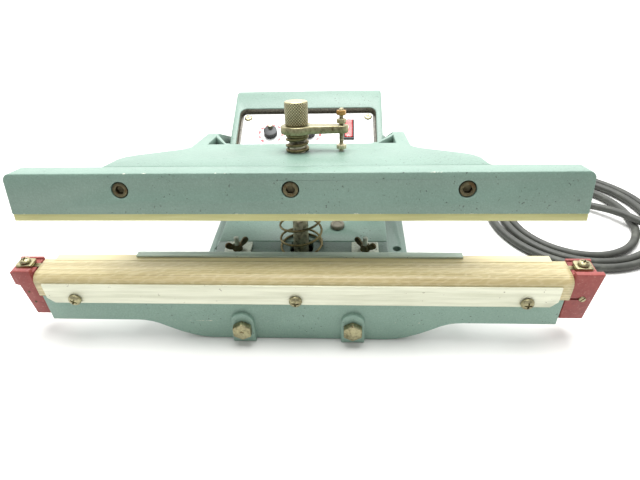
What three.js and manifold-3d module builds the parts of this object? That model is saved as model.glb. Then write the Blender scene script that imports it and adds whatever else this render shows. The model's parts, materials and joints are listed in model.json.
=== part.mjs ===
// Foot-operated impulse heat sealer, bench head only, jaws open.
// Millimetres, +Z up, +X along the jaws, +Y from the jaws towards the control box.
// Depths are measured from the lower jaw's front face, and the finished group is then
// centred front to back. Everything on the swinging arm is drawn with the jaws closed
// and then turned open about the pivot shaft.
import * as THREE from 'three';
import { mergeVertices } from 'three/addons/utils/BufferGeometryUtils.js';
import Module from 'manifold-3d';

const wasm = await Module();
wasm.setup();

// ---------- driving dimensions ----------
const GAP = 0.3;               // between faces that touch
const RUN = 0.4;               // radial clearance of pins and screws in their holes
const OPEN_ANGLE = THREE.MathUtils.degToRad(12.46);

// lower jaw
const JAW_HALF = 238;          // half length of the lower casting
const JAW_PLATE = 11;          // thickness of its front plate
const JAW_END_Z = 23;          // underside of the casting near its ends
const JAW_TOP_Z = 66;          // top of the ledge that carries the sealing bar
const LEDGE = 8;               // thickness of that ledge
const BELLY_HALF = 92;         // half width of the part that reaches the bench
const BELLY_FLARE = 154;       // where the belly has run out to the ends' underside
const JAW_BOLT_X = 52;
const JAW_BOLT_Z = 18.5;
const JAW_BOLT_D = 10;
const JAW_BOLT_AF = 17;        // across the flats of its hexagon head
const JAW_BOLT_HEAD_H = 6.4;
const BOSS_W = 22;
const BOSS_OUT = 4.5;

// sealing bar, element and cloth
const BAR_HALF = JAW_HALF + 1.5;
const BAR_DEEP = 34.5;          // front to back
const BAR_HIGH = 9.1;
const NOSE = 10;               // depth of the rounded front of the bar
const ELEMENT_W = 5;
const ELEMENT_T = 0.3;
const ELEMENT_Y = 18;
const CLOTH_T = 0.4;
const CLOTH_HALF = JAW_HALF + 4;
const CLOTH_DROP = 15.6;        // how far the cloth hangs behind the front strip
const CLOTH_TOP_DEEP = 26;     // the cloth's full-length top stops here
const CLOTH_FLAP_HALF = JAW_HALF - 7;   // its rear flap is shorter
const CLOTH_FLAP_END = BAR_DEEP - 1;

// clamp strips
const STRIP_HALF = JAW_HALF - 6;
const STRIP_HIGH = 22;
const STRIP_T = 2;
const STRIP_CHAMFER = 6;
const STRIP_SCREW_X = STRIP_HALF - 27;
const STRIP_SCREW_UP = 5;      // above the strip's lower edge
const STRIP_SCREW_D = 6;
const STRIP_HEAD_D = 12;
const STRIP_HEAD_H = 4.2;
const REAR_PLATE_HALF = 152;
const REAR_PLATE_W = 7;

// end blocks: a front wall, a sunk seat for the element clamp and a rear lip
const BLOCK_OUT = JAW_HALF + 27;         // outer side of the seat
const BLOCK_TOP_OUT = { left: JAW_HALF + 21, right: JAW_HALF + 29 };    // outer side of the front wall, top and foot
const BLOCK_FOOT_OUT = { left: JAW_HALF + 15.5, right: JAW_HALF + 23 };
const BLOCK_FRONT = 3;
const BLOCK_DEEP = 27;
const BLOCK_WALL_T = 5;
const BLOCK_LIP_T = 3;
const BLOCK_WALL_UP = 4.6;     // the front wall stands this far above the seat
const BLOCK_LIP_UP = 1.5;
const BLOCK_FOOT_Z = 28;
const BLOCK_SEAT_FOOT_Z = 61;  // underside of the seat's outer end
const CLAMP_T = 3;
const CLAMP_W = 15;
const CLAMP_DEEP = 12;
const CLAMP_SCREW_D = 4;

// base and control housing
const BASE_HALF = 88;
const BASE_WALL = 8;
const BASE_FRONT = 30;
const BASE_REAR = 285;
const DECK_Z = 55.4;
const DECK_T = 8;
const JOINT_Y = 84;            // joint between the deck and the housing's front tongue
const FOOT_W = 27;
const FOOT_T = 12;
const FOOT_FRONT = 58;
const FOOT_HOLE_D = 9.5;
const FOOT_HOLE_Y = [129, BASE_REAR - 23];
const EAR_T = 6;
const EAR_R = 19;
const HOUSING_HALF = 86.5;
const HOUSING_WALL = 4;
const HOUSING_REAR = BASE_REAR - 21;
const HOUSING_FRONT = HOUSING_REAR - 112;
const HOUSING_TOP_Z = 153;     // at the top rear edge
const HOUSING_TOP_Y = HOUSING_REAR - 13;
const HOUSING_CORNER = 13;
const PANEL_TILT = THREE.MathUtils.degToRad(24.3);

// control panel, in its own sloping frame: x across, y up the slope
const PANEL_W = 153;
const PANEL_H = 62;
const PANEL_T = 2;
const PANEL_CORNER = 5;
const PANEL_SUNK = 6;
const PANEL_MARGIN = 3;        // dark gap round the panel in its recess
const PANEL_REST = 8;          // width of the shelf that the panel lies on
const PANEL_EDGE = 24;         // from the housing's top rear edge to the recess
const KNOB_X = [-42, 2];
const KNOB_D = 15;
const KNOB_SKIRT_D = 17.5;
const KNOB_H = 17;
const CONTROL_UP = 5;          // controls sit this far above the panel's middle
const ROCKER_X = 48;
const ROCKER_W = 13;
const ROCKER_H = 29;
const ROCKER_BEZEL = 1.8;
const ROCKER_TILT = THREE.MathUtils.degToRad(7);

// swinging arm, drawn closed
const PIVOT_Y = BASE_REAR - 33.5;
const PIVOT_Z = 77.2;
const SHAFT_D = 16;
const BUSH_T = 2;
const ARM_TOP_Z = 118.1;
const WEB_T = 10;
const WEB_HALF = 165;
const WEB_REAR = 112;
const ARM_OUT = 108;           // outer side of the fork arms
const ARM_W = 13.3;
const ARM_BEND_Y = 165;        // the arms' top falls away to the pivot behind this
const ARM_BOSS_R = 17;
const FLANGE_T = 11;           // front flange the upper bar is screwed to
const FLANGE_HIGH = 31;
const UPPER_FRONT = 7.3;
const UPPER_T = 21.2;
const UPPER_HIGH = 35.6;
const UPPER_HALF = JAW_HALF + 3.5;
const UPPER_CORNER = 6.5;
const CAP_SCREW_X = 143;
const CAP_SCREW_DOWN = 14.6;   // below the bar's top
const CAP_HEAD_D = 13;
const CAP_HEAD_H = 8;
const CAP_SHANK_D = 8;
const RUBBER_T = 6.8;
const RUBBER_W = 17;

// pull rod and pressure adjuster
const ROD_Y = 79.5;
const ROD_D = 15.5;
const ROD_FOOT_Z = -19;
const NUT_D = 21.5;
const NUT_H = 21.5;
const SPRING_H = 16.6;         // pressure spring between web and lever
const SPRING_D = ROD_D + 6.5;
const SPRING_WIRE = 3;
const SPRING_TURNS = 4;
const LEVER_T = 7;
const LEVER_BOSS_D = 30;
const LEVER_TIP_D = 13;
const TRIGGER_X = 41;
const TRIGGER_D = 4;
const TRIGGER_HEAD_H = 4;
const TRIGGER_NUT_H = 4;
const TRIGGER_AF = 8;
const PLUNGER_D = 4;
const SWITCH_SIZE = [20, 12, 17];

// return spring between deck and arm
const RETURN_D = 44;
const RETURN_WIRE = 2.4;
const RETURN_TURNS = 7.5;
const RETURN_SEAT_Y = 75;

// work-table clamp plates on the deck
const TABLE_PLATE = 27;
const TABLE_PLATE_T = 2.6;
const TABLE_X = 64.5;
const TABLE_Y = 66;
const STUD_D = 5;
const STUD_H = 18;
const WING_SPAN = 25;
const DECK_PLUG_X = 36;        // rubber plug in a wiring hole of the housing's tongue
const DECK_PLUG_Y = 111;
const DECK_PLUG_D = 15;
const DECK_HOLE_D = 10;

// inside the base
const TRANSFORMER = { width: 76, deep: 58, high: 54, y: PIVOT_Y - 44.5 };
const BOARD = { width: 62, deep: 58, x: -41, y: 129 };
const COVER_T = 1.5;

// mains cord, 9 mm across, on the bench: three loose turns beside the machine
const CORD_D = 9;
const COIL_X = 328;
const COIL_Y = 213;
const COIL_OUT = 115;
const COIL_IN = 33;
const COIL_H = 19;
const RELIEF_LONG = 32;
const RELIEF_D = 16;
const RELIEF_X = 58;
const RELIEF_Z = 26;
const LEAD_ROUTE = [
  [58, 327, 25.9], [58, 342, 21.5], [60, 362, 10], [72, 383, 5], [94, 397, 4.8], [122, 399, 4.8],
  [154, 390, 4.8], [186, 376, 4.8], [218, 360, 4.8], [250, 344.5, 4.8], [276, 334.8, 4.8], [300, 329.5, 4.8],
];
const TAIL_ROUTE = [
  [425.5, 149, 13.8], [434, 139, 13.4], [443, 127, 13.2], [449.5, 114, 13.5], [452, 102, 14], [452, 90, 14],
];
const PLUG_R = 14;
const PLUG_LONG = 38;

// ---------- what follows from them ----------
const BAR_TOP_Z = JAW_TOP_Z + GAP + BAR_HIGH;
const ELEMENT_Z = BAR_TOP_Z + GAP;
const CLOTH_TOP_Z = ELEMENT_Z + ELEMENT_T + GAP + CLOTH_T;
const STRIP_FRONT = -(2 * GAP + CLOTH_T + STRIP_T);
const STRIP_TOP_Z = JAW_TOP_Z + 3.6;
const UPPER_BOTTOM_Z = ARM_TOP_Z - UPPER_HIGH;
const CAP_SCREW_Z = ARM_TOP_Z - CAP_SCREW_DOWN;
const ARM_IN = ARM_OUT - ARM_W;
const FLANGE_Y = UPPER_FRONT + UPPER_T + GAP;
const TONGUE_END = HOUSING_FRONT + 6;
const LEVER_Z = ARM_TOP_Z + 2 * GAP + SPRING_H;
const NUT_Z = LEVER_Z + LEVER_T + GAP;
const BOLT_FRONT = -(BOSS_OUT + GAP + JAW_BOLT_HEAD_H);
const FRONT_Y = Math.min(STRIP_FRONT - GAP - STRIP_HEAD_H, BOLT_FRONT);
const CENTRE_Y = (FRONT_Y + BASE_REAR) / 2;

// ---------- shape helpers ----------
const V2 = (x, y) => new THREE.Vector2(x, y);
const V3 = (x, y, z) => new THREE.Vector3(x, y, z);

function outline(points) {
  return new THREE.Shape(points.map(([x, y]) => V2(x, y)));
}

function roundedRectangle(width, height, radius) {
  const shape = new THREE.Shape();
  const [w, h] = [width / 2 - radius, height / 2 - radius];
  shape.absarc(w, h, radius, 0, Math.PI / 2);
  shape.absarc(-w, h, radius, Math.PI / 2, Math.PI);
  shape.absarc(-w, -h, radius, Math.PI, 1.5 * Math.PI);
  shape.absarc(w, -h, radius, 1.5 * Math.PI, 2 * Math.PI);
  return shape;
}

function polygon(radius, sides, turn = 0) {
  return outline(Array.from({ length: sides }, (_, i) => {
    const corner = turn + (i / sides) * 2 * Math.PI;
    return [radius * Math.cos(corner), radius * Math.sin(corner)];
  }));
}

function prismZ(shape, low, high, curveSegments = 5) {
  const made = new THREE.ExtrudeGeometry(shape, { depth: high - low, bevelEnabled: false, curveSegments });
  return made.translate(0, 0, low);
}

// shape drawn in y, z and run along x
function prismX(shape, low, high, curveSegments = 5) {
  const turned = new THREE.Matrix4().makeBasis(V3(0, 1, 0), V3(0, 0, 1), V3(1, 0, 0));
  return prismZ(shape, low, high, curveSegments).applyMatrix4(turned);
}

// shape drawn in x, z and run along y
function prismY(shape, low, high, curveSegments = 5) {
  return prismZ(shape, -high, -low, curveSegments).rotateX(Math.PI / 2);
}

function block(x0, x1, y0, y1, z0, z1) {
  const made = new THREE.BoxGeometry(x1 - x0, y1 - y0, z1 - z0);
  return made.translate((x0 + x1) / 2, (y0 + y1) / 2, (z0 + z1) / 2);
}

function discZ(x, y, z0, z1, radius, sides = 20) {
  return prismZ(polygon(radius, sides), z0, z1).translate(x, y, 0);
}

function discY(x, z, y0, y1, radius, sides = 20) {
  return prismY(polygon(radius, sides), y0, y1).translate(x, 0, z);
}

function discX(y, z, x0, x1, radius, sides = 20) {
  return prismX(polygon(radius, sides), x0, x1).translate(0, y, z);
}

// profile of [radius, height] pairs from axis to axis, turned about z
function turned(profile, sides = 16) {
  return new THREE.LatheGeometry(profile.map(([r, h]) => V2(r, h)), sides).rotateX(Math.PI / 2);
}

function tubeAlong(curve, radius, steps, sides = 8) {
  return new THREE.ExtrudeGeometry(polygon(radius, sides), { steps, extrudePath: curve, bevelEnabled: false });
}

function welded(geometry) {
  const bare = geometry.clone();
  bare.deleteAttribute('normal');
  bare.deleteAttribute('uv');
  return mergeVertices(bare, 1e-4);
}

function signedVolume(geometry) {
  const [p, index] = [geometry.attributes.position, geometry.index];
  const at = (i) => V3().fromBufferAttribute(p, index.getX(i));
  let total = 0;
  for (let i = 0; i < index.count; i += 3) total += at(i).dot(at(i + 1).cross(at(i + 2)));
  return total;
}

function outward(geometry) {
  const made = welded(geometry);
  if (signedVolume(made) > 0) return made;
  made.setIndex([...made.index.array].reverse());
  return made;
}

function solid(geometry) {
  const made = outward(geometry);
  const vertProperties = new Float32Array(made.attributes.position.array);
  const triVerts = new Uint32Array(made.index.array);
  return new wasm.Manifold(new wasm.Mesh({ numProp: 3, vertProperties, triVerts }));
}

function geometryOf(manifold) {
  const { vertProperties, triVerts } = manifold.getMesh();
  const made = new THREE.BufferGeometry();
  made.setAttribute('position', new THREE.BufferAttribute(new Float32Array(vertProperties), 3));
  made.setIndex(new THREE.BufferAttribute(new Uint32Array(triVerts), 1));
  return made;
}

function joined(...geometries) {
  return geometries.map(solid).reduce((sum, next) => sum.add(next));
}

function cut(body, ...tools) {
  const whole = body instanceof THREE.BufferGeometry ? solid(body) : body;
  return tools.map(solid).reduce((left, tool) => left.subtract(tool), whole);
}

// hexagon prism standing on z = 0, given by its size across the flats
function hexagon(acrossFlats, height, turn = 0) {
  return prismZ(polygon(acrossFlats / Math.sqrt(3), 6, turn), 0, height);
}

function mirrored(geometry) {
  return [1, -1].map((side) => geometry.clone().scale(side, 1, 1));
}

const FINISHES = {
  paint: { color: 0x9dbcab, roughness: 0.45, metalness: 0.1 },
  aluminium: { color: 0xd6d6c2, roughness: 0.4, metalness: 0.9 },
  nickel: { color: 0xb9b48f, roughness: 0.35, metalness: 0.9 },
  steel: { color: 0xa9a68f, roughness: 0.3, metalness: 0.9 },
  red: { color: 0x8f3a34, roughness: 0.5, metalness: 0 },
  switchRed: { color: 0xd22a22, roughness: 0.3, metalness: 0 },
  black: { color: 0x1c1c1c, roughness: 0.45, metalness: 0 },
  rubber: { color: 0x3a3c36, roughness: 0.7, metalness: 0 },
  silicone: { color: 0xc9c291, roughness: 0.7, metalness: 0 },
  cloth: { color: 0xc9bb86, roughness: 0.4, metalness: 0 },
  panel: { color: 0xeeeeea, roughness: 0.4, metalness: 0 },
  brass: { color: 0xa98c4a, roughness: 0.4, metalness: 0.9 },
  core: { color: 0x50504c, roughness: 0.6, metalness: 0.5 },
};

function addPart(parent, name, shape, finish) {
  const geometry = shape instanceof THREE.BufferGeometry ? outward(shape) : geometryOf(shape);
  const mesh = new THREE.Mesh(geometry, new THREE.MeshStandardMaterial(FINISHES[finish]));
  mesh.name = name;
  parent.add(mesh);
  return mesh;
}

// ---------- frame of groups ----------
const group = new THREE.Group();
const machine = new THREE.Group();
machine.position.y = -CENTRE_Y;
group.add(machine);

const swing = new THREE.Group();
swing.position.set(0, PIVOT_Y, PIVOT_Z);
swing.rotation.x = -OPEN_ANGLE;
machine.add(swing);
const arm = new THREE.Group();
arm.position.set(0, -PIVOT_Y, -PIVOT_Z);
swing.add(arm);

// where a point of the closed arm stands with the jaws open
function opened(y, z) {
  const turnedPoint = V3(0, y - PIVOT_Y, z - PIVOT_Z).applyAxisAngle(V3(1, 0, 0), -OPEN_ANGLE);
  return V3(0, turnedPoint.y + PIVOT_Y, turnedPoint.z + PIVOT_Z);
}

// ---------- lower jaw ----------
const BOLT_HOLE_R = JAW_BOLT_D / 2 + RUN;
const STRIP_SCREW_Z = STRIP_TOP_Z - STRIP_HIGH + STRIP_SCREW_UP;
const STRIP_SCREW_PLACES = [-STRIP_SCREW_X, 0, STRIP_SCREW_X];

function stripScrewHoles(front, back) {
  return STRIP_SCREW_PLACES.map((x) => discY(x, STRIP_SCREW_Z, front, back, STRIP_SCREW_D / 2 + RUN, 12));
}

function lowerJaw() {
  const front = new THREE.Shape();
  front.moveTo(JAW_HALF, JAW_TOP_Z);
  front.lineTo(-JAW_HALF, JAW_TOP_Z);
  front.lineTo(-JAW_HALF, JAW_END_Z);
  front.lineTo(-BELLY_FLARE, JAW_END_Z);
  front.quadraticCurveTo(-BELLY_FLARE + 14, JAW_END_Z, -BELLY_FLARE + 26, JAW_END_Z - 8);
  front.quadraticCurveTo(-BELLY_HALF - 10, 0, -BELLY_HALF + 8, 0);
  front.lineTo(BELLY_HALF - 8, 0);
  front.quadraticCurveTo(BELLY_HALF + 10, 0, BELLY_FLARE - 26, JAW_END_Z - 8);
  front.quadraticCurveTo(BELLY_FLARE - 14, JAW_END_Z, BELLY_FLARE, JAW_END_Z);
  front.lineTo(JAW_HALF, JAW_END_Z);
  const plate = prismY(front, 0, JAW_PLATE, 4);
  const ledge = block(-JAW_HALF, JAW_HALF, 1, BAR_DEEP, JAW_TOP_Z - LEDGE, JAW_TOP_Z);

  const boss = new THREE.Shape();
  boss.moveTo(-BOSS_W / 2, 0);
  boss.lineTo(BOSS_W / 2, 0);
  boss.absarc(0, JAW_BOLT_Z + 6.5, BOSS_W / 2, 0, Math.PI);
  const bosses = mirrored(prismY(boss, -BOSS_OUT, BASE_FRONT - GAP, 5).translate(JAW_BOLT_X, 0, 0));
  const ribs = mirrored(block(BELLY_FLARE, BELLY_FLARE + 6, 5, BAR_DEEP - 4, JAW_END_Z + 6, JAW_TOP_Z - 4));

  const holes = mirrored(discY(JAW_BOLT_X, JAW_BOLT_Z, -BOSS_OUT - 1, BASE_FRONT, BOLT_HOLE_R, 16));
  return cut(joined(plate, ledge, ...bosses, ...ribs), ...holes, ...stripScrewHoles(-1, JAW_PLATE + 1));
}

// section of the bar in y, z: a rounded front, flat top and square back
function barSection(grow) {
  const [front, top] = [0.5 - grow, BAR_TOP_Z + grow];
  const shape = new THREE.Shape();
  shape.moveTo(front, JAW_TOP_Z + GAP);
  shape.lineTo(front, JAW_TOP_Z + 2);
  shape.bezierCurveTo(front, top - 2, front + 4, top, front + NOSE + grow, top);
  shape.lineTo(BAR_DEEP, top);
  shape.lineTo(BAR_DEEP, JAW_TOP_Z + GAP);
  return shape;
}

function sealingBar() {
  const body = prismX(barSection(0), -BAR_HALF, BAR_HALF, 6);
  const corner = block(CLOTH_FLAP_HALF, BAR_HALF + 1, CLOTH_TOP_DEEP, BAR_DEEP + 1, JAW_TOP_Z, BAR_TOP_Z + 1);
  return cut(body, ...mirrored(corner));
}

// the cloth lies on the element and bar, and hangs down behind the front strip
function sealingCloth() {
  const lift = CLOTH_TOP_Z - CLOTH_T - BAR_TOP_Z;
  const outerTop = prismX(barSection(lift + CLOTH_T), -CLOTH_HALF, CLOTH_HALF, 6);
  const innerTop = prismX(barSection(lift), -CLOTH_HALF - 1, CLOTH_HALF + 1, 6);
  const [past, above] = [CLOTH_HALF + 1, BAR_TOP_Z + 9];
  const foot = block(-past, past, -9, BAR_DEEP + 1, JAW_TOP_Z - 9, JAW_TOP_Z + 1.5);
  const behind = mirrored(block(CLOTH_FLAP_HALF, past, CLOTH_TOP_DEEP, BAR_DEEP + 1, JAW_TOP_Z, above));
  const edge = block(-past, past, CLOTH_FLAP_END, BAR_DEEP + 1, JAW_TOP_Z, above);
  const front = 0.5 - lift - CLOTH_T;
  const dropZ = STRIP_TOP_Z - CLOTH_DROP;
  const drop = block(-CLOTH_HALF, CLOTH_HALF, front, front + CLOTH_T, dropZ, JAW_TOP_Z + 1.6);
  const over = cut(outerTop, innerTop, foot, ...behind, edge).add(solid(drop));
  return cut(over, ...stripScrewHoles(-9, 9));
}

function frontStrip() {
  const [top, low, c] = [STRIP_TOP_Z, STRIP_TOP_Z - STRIP_HIGH, STRIP_CHAMFER];
  const shape = outline([
    [STRIP_HALF, top], [-STRIP_HALF, top], [-STRIP_HALF, low + c], [-STRIP_HALF + c, low],
    [STRIP_HALF - c, low], [STRIP_HALF, low + c],
  ]);
  return cut(prismY(shape, STRIP_FRONT, STRIP_FRONT + STRIP_T), ...stripScrewHoles(-9, 9));
}

// pan head screw standing on z = 0 with its shank below
function panScrew(headD, headH, shankD, shankLong, sides = 12) {
  return turned([
    [0, -shankLong], [shankD / 2, -shankLong], [shankD / 2, 0], [headD / 2, 0],
    [headD / 2, headH * 0.45], [headD * 0.36, headH * 0.85], [headD * 0.18, headH], [0, headH],
  ], sides);
}

addPart(machine, 'lower_jaw_casting', lowerJaw(), 'paint');
addPart(machine, 'sealing_bar', sealingBar(), 'aluminium');
addPart(machine, 'ptfe_cloth', sealingCloth(), 'cloth');
addPart(machine, 'front_clamp_strip', frontStrip(), 'aluminium');

STRIP_SCREW_PLACES.forEach((x, i) => {
  const shape = panScrew(STRIP_HEAD_D, STRIP_HEAD_H, STRIP_SCREW_D, JAW_PLATE);
  const screw = addPart(machine, `strip_screw_${i + 1}`, shape, 'nickel');
  screw.rotation.x = Math.PI / 2;
  screw.position.set(x, STRIP_FRONT - GAP, STRIP_SCREW_Z);
});

const REAR_PLATE_Y = BAR_DEEP + 1 - REAR_PLATE_W;
const REAR_PLATE_Z = CLOTH_TOP_Z + GAP;
addPart(machine, 'rear_clamp_plate', block(
  -REAR_PLATE_HALF, REAR_PLATE_HALF,
  REAR_PLATE_Y, REAR_PLATE_Y + REAR_PLATE_W, REAR_PLATE_Z, REAR_PLATE_Z + STRIP_T,
), 'aluminium');

// hexagon bolts that hold the jaw to the base
const BOLT_LONG = BASE_FRONT + BOSS_OUT + BASE_WALL + 4;
for (const [side, x] of [['left', -JAW_BOLT_X], ['right', JAW_BOLT_X]]) {
  const head = hexagon(JAW_BOLT_AF, JAW_BOLT_HEAD_H, Math.PI / 6).translate(0, 0, GAP);
  const shank = discZ(0, 0, -BOLT_LONG, 1, JAW_BOLT_D / 2, 12);
  const bolt = addPart(machine, `jaw_bolt_${side}`, joined(head, shank), 'steel');
  bolt.rotation.x = Math.PI / 2;
  bolt.position.set(x, -BOSS_OUT, JAW_BOLT_Z);
}

// insulating blocks that hold the element's ends
const BLOCK_IN = CLOTH_HALF + 0.6;
const BLOCK_TOP_Z = BAR_TOP_Z;
const BLOCK_STEP_Z = JAW_TOP_Z - 0.2;
const CLAMP_X = (BLOCK_IN + BLOCK_OUT) / 2;
const CLAMP_Y = ELEMENT_Y;
const CLAMP_Z = ELEMENT_Z + ELEMENT_T + GAP;

function clampHole(low, high) {
  return discZ(CLAMP_X, CLAMP_Y, low, high, CLAMP_SCREW_D / 2 + RUN, 10);
}

function endBlock(side) {
  const [topOut, footOut] = [BLOCK_TOP_OUT[side], BLOCK_FOOT_OUT[side]];
  const jawEnd = JAW_HALF + GAP;
  const inner = (top) => [
    [BLOCK_IN, top], [BLOCK_IN, BLOCK_STEP_Z], [jawEnd, BLOCK_STEP_Z], [jawEnd, BLOCK_FOOT_Z],
  ];
  const wallTop = BLOCK_TOP_Z + BLOCK_WALL_UP;
  const wall = outline([[footOut, BLOCK_FOOT_Z], [topOut, wallTop], ...inner(wallTop)]);
  const seat = (top) => outline([
    [footOut, BLOCK_FOOT_Z], [Math.min(topOut, BLOCK_OUT) - 3, BLOCK_SEAT_FOOT_Z - 3],
    [BLOCK_OUT, BLOCK_SEAT_FOOT_Z], [BLOCK_OUT, top], ...inner(top),
  ]);
  const back = BLOCK_FRONT + BLOCK_DEEP;
  const front = prismY(wall, BLOCK_FRONT, BLOCK_FRONT + BLOCK_WALL_T);
  const middle = prismY(seat(BLOCK_TOP_Z), BLOCK_FRONT + BLOCK_WALL_T - 1, back);
  const lip = prismY(seat(BLOCK_TOP_Z + BLOCK_LIP_UP), back - BLOCK_LIP_T, back);
  return geometryOf(cut(joined(front, middle, lip), clampHole(BLOCK_TOP_Z - 9, BLOCK_TOP_Z + 1)));
}

function elementClamp() {
  const top = CLAMP_Z + CLAMP_T;
  const plate = prismZ(roundedRectangle(CLAMP_W, CLAMP_DEEP, 2), CLAMP_Z, top, 2)
    .translate(CLAMP_X, CLAMP_Y, 0);
  return geometryOf(cut(plate, clampHole(CLAMP_Z - 1, top + 1)));
}

// the element is a ribbon under the cloth, punched where the clamp screws go through it
function heatingElement() {
  const half = BLOCK_OUT - 1.5;
  const [near, far] = [ELEMENT_Y - ELEMENT_W / 2, ELEMENT_Y + ELEMENT_W / 2];
  const ribbon = block(-half, half, near, far, ELEMENT_Z, ELEMENT_Z + ELEMENT_T);
  return cut(ribbon, ...mirrored(clampHole(ELEMENT_Z - 1, ELEMENT_Z + 2)));
}

addPart(machine, 'heating_element', heatingElement(), 'steel');
for (const [side, sign] of [['left', -1], ['right', 1]]) {
  addPart(machine, `end_block_${side}`, endBlock(side).scale(sign, 1, 1), 'red');
  addPart(machine, `element_clamp_${side}`, elementClamp().scale(sign, 1, 1), 'nickel');
  const shape = panScrew(10, 3.4, CLAMP_SCREW_D, 8 + CLAMP_T);
  const screw = addPart(machine, `clamp_screw_${side}`, shape, 'nickel');
  screw.position.set(sign * CLAMP_X, CLAMP_Y, CLAMP_Z + CLAMP_T + GAP);
}

// ---------- base ----------
const ROD_R = ROD_D / 2;
const SHAFT_R = SHAFT_D / 2;

// the slot clears the pull rod from jaws open to jaws shut
function rodSlot(low, high) {
  const drop = opened(ROD_Y, ARM_TOP_Z).z - (DECK_Z - DECK_T);
  const openY = opened(ROD_Y, ARM_TOP_Z).y - drop * Math.tan(OPEN_ANGLE);
  const r = ROD_R + 4;
  const shape = new THREE.Shape();
  shape.absarc(0, openY - ROD_R - 1.6 + r, r, Math.PI, 2 * Math.PI);
  shape.absarc(0, ROD_Y + ROD_R + 2.4 - r, r, 0, Math.PI);
  return prismZ(shape, low, high, 6);
}

function base() {
  const [half, wall, front, rear] = [BASE_HALF, BASE_WALL, BASE_FRONT, BASE_REAR];
  const [deckLow, over] = [DECK_Z - DECK_T, DECK_Z + 1];
  const outer = block(-half, half, front, rear, 0, DECK_Z);
  const feet = mirrored(prismZ(roundedRectangle(2 * FOOT_W, rear - FOOT_FRONT, 12), 0, FOOT_T, 4)
    .translate(half, (rear + FOOT_FRONT) / 2, 0));
  const ear = new THREE.Shape();
  ear.moveTo(PIVOT_Y - EAR_R - 8, 2);
  ear.lineTo(PIVOT_Y + EAR_R + 8, 2);
  ear.lineTo(PIVOT_Y + EAR_R, PIVOT_Z);
  ear.absarc(PIVOT_Y, PIVOT_Z, EAR_R, 0, Math.PI);
  const ears = mirrored(prismX(ear, half, half + EAR_T, 6));
  const rooted = mirrored(block(half - 4, half + EAR_T - 1, PIVOT_Y - EAR_R, PIVOT_Y + EAR_R, 4, DECK_Z - 2));
  const body = joined(outer, ...feet, ...ears, ...rooted);

  const well = block(-half + wall, half - wall, front + wall, rear - wall, -1, deckLow);
  const open = block(-half + wall, half - wall, JOINT_Y, HOUSING_REAR - HOUSING_WALL, deckLow - 1, over);
  const step = block(-half - 1, half + 1, JOINT_Y, TONGUE_END + GAP, deckLow, over);
  const shaft = discX(PIVOT_Y, PIVOT_Z, -half - 20, half + 20, SHAFT_R + 0.05, 24);
  const boltHoles = mirrored(discY(JAW_BOLT_X, JAW_BOLT_Z, front - 1, front + wall + 1, BOLT_HOLE_R, 16));
  const footHoles = FOOT_HOLE_Y.flatMap((y) => mirrored(
    discZ(half + FOOT_W - 11, y, -1, FOOT_T + 1, FOOT_HOLE_D / 2, 16)));
  const studHoles = mirrored(discZ(TABLE_X, TABLE_Y, deckLow - 1, over, STUD_D / 2 + RUN, 10));
  const reliefHole = discY(RELIEF_X, RELIEF_Z, rear - wall - 1, rear + 1, RELIEF_D / 2 + RUN, 16);
  const holes = [...boltHoles, ...footHoles, ...studHoles, reliefHole];
  return cut(body, well, open, step, shaft, rodSlot(0, over), ...holes);
}

addPart(machine, 'base_casting', base(), 'paint');
const COVER_TOP_Z = 1 + COVER_T;
addPart(machine, 'bottom_cover', block(
  -BASE_HALF + BASE_WALL + GAP, BASE_HALF - BASE_WALL - GAP,
  JOINT_Y + 14, BASE_REAR - BASE_WALL - GAP, COVER_TOP_Z - COVER_T, COVER_TOP_Z,
), 'steel');

// ---------- control housing ----------
// the sloping top's frame: origin at the panel's middle, on the panel's face
const slope = new THREE.Group();
const SLOPE_DOWN = PANEL_EDGE + PANEL_MARGIN + PANEL_H / 2;
slope.position.set(
  0,
  HOUSING_TOP_Y - SLOPE_DOWN * Math.cos(PANEL_TILT) + PANEL_SUNK * Math.sin(PANEL_TILT),
  HOUSING_TOP_Z - SLOPE_DOWN * Math.sin(PANEL_TILT) - PANEL_SUNK * Math.cos(PANEL_TILT),
);
slope.rotation.x = PANEL_TILT;
machine.add(slope);
slope.updateMatrix();

function onSlope(geometry) {
  return geometry.applyMatrix4(slope.matrix);
}

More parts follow.
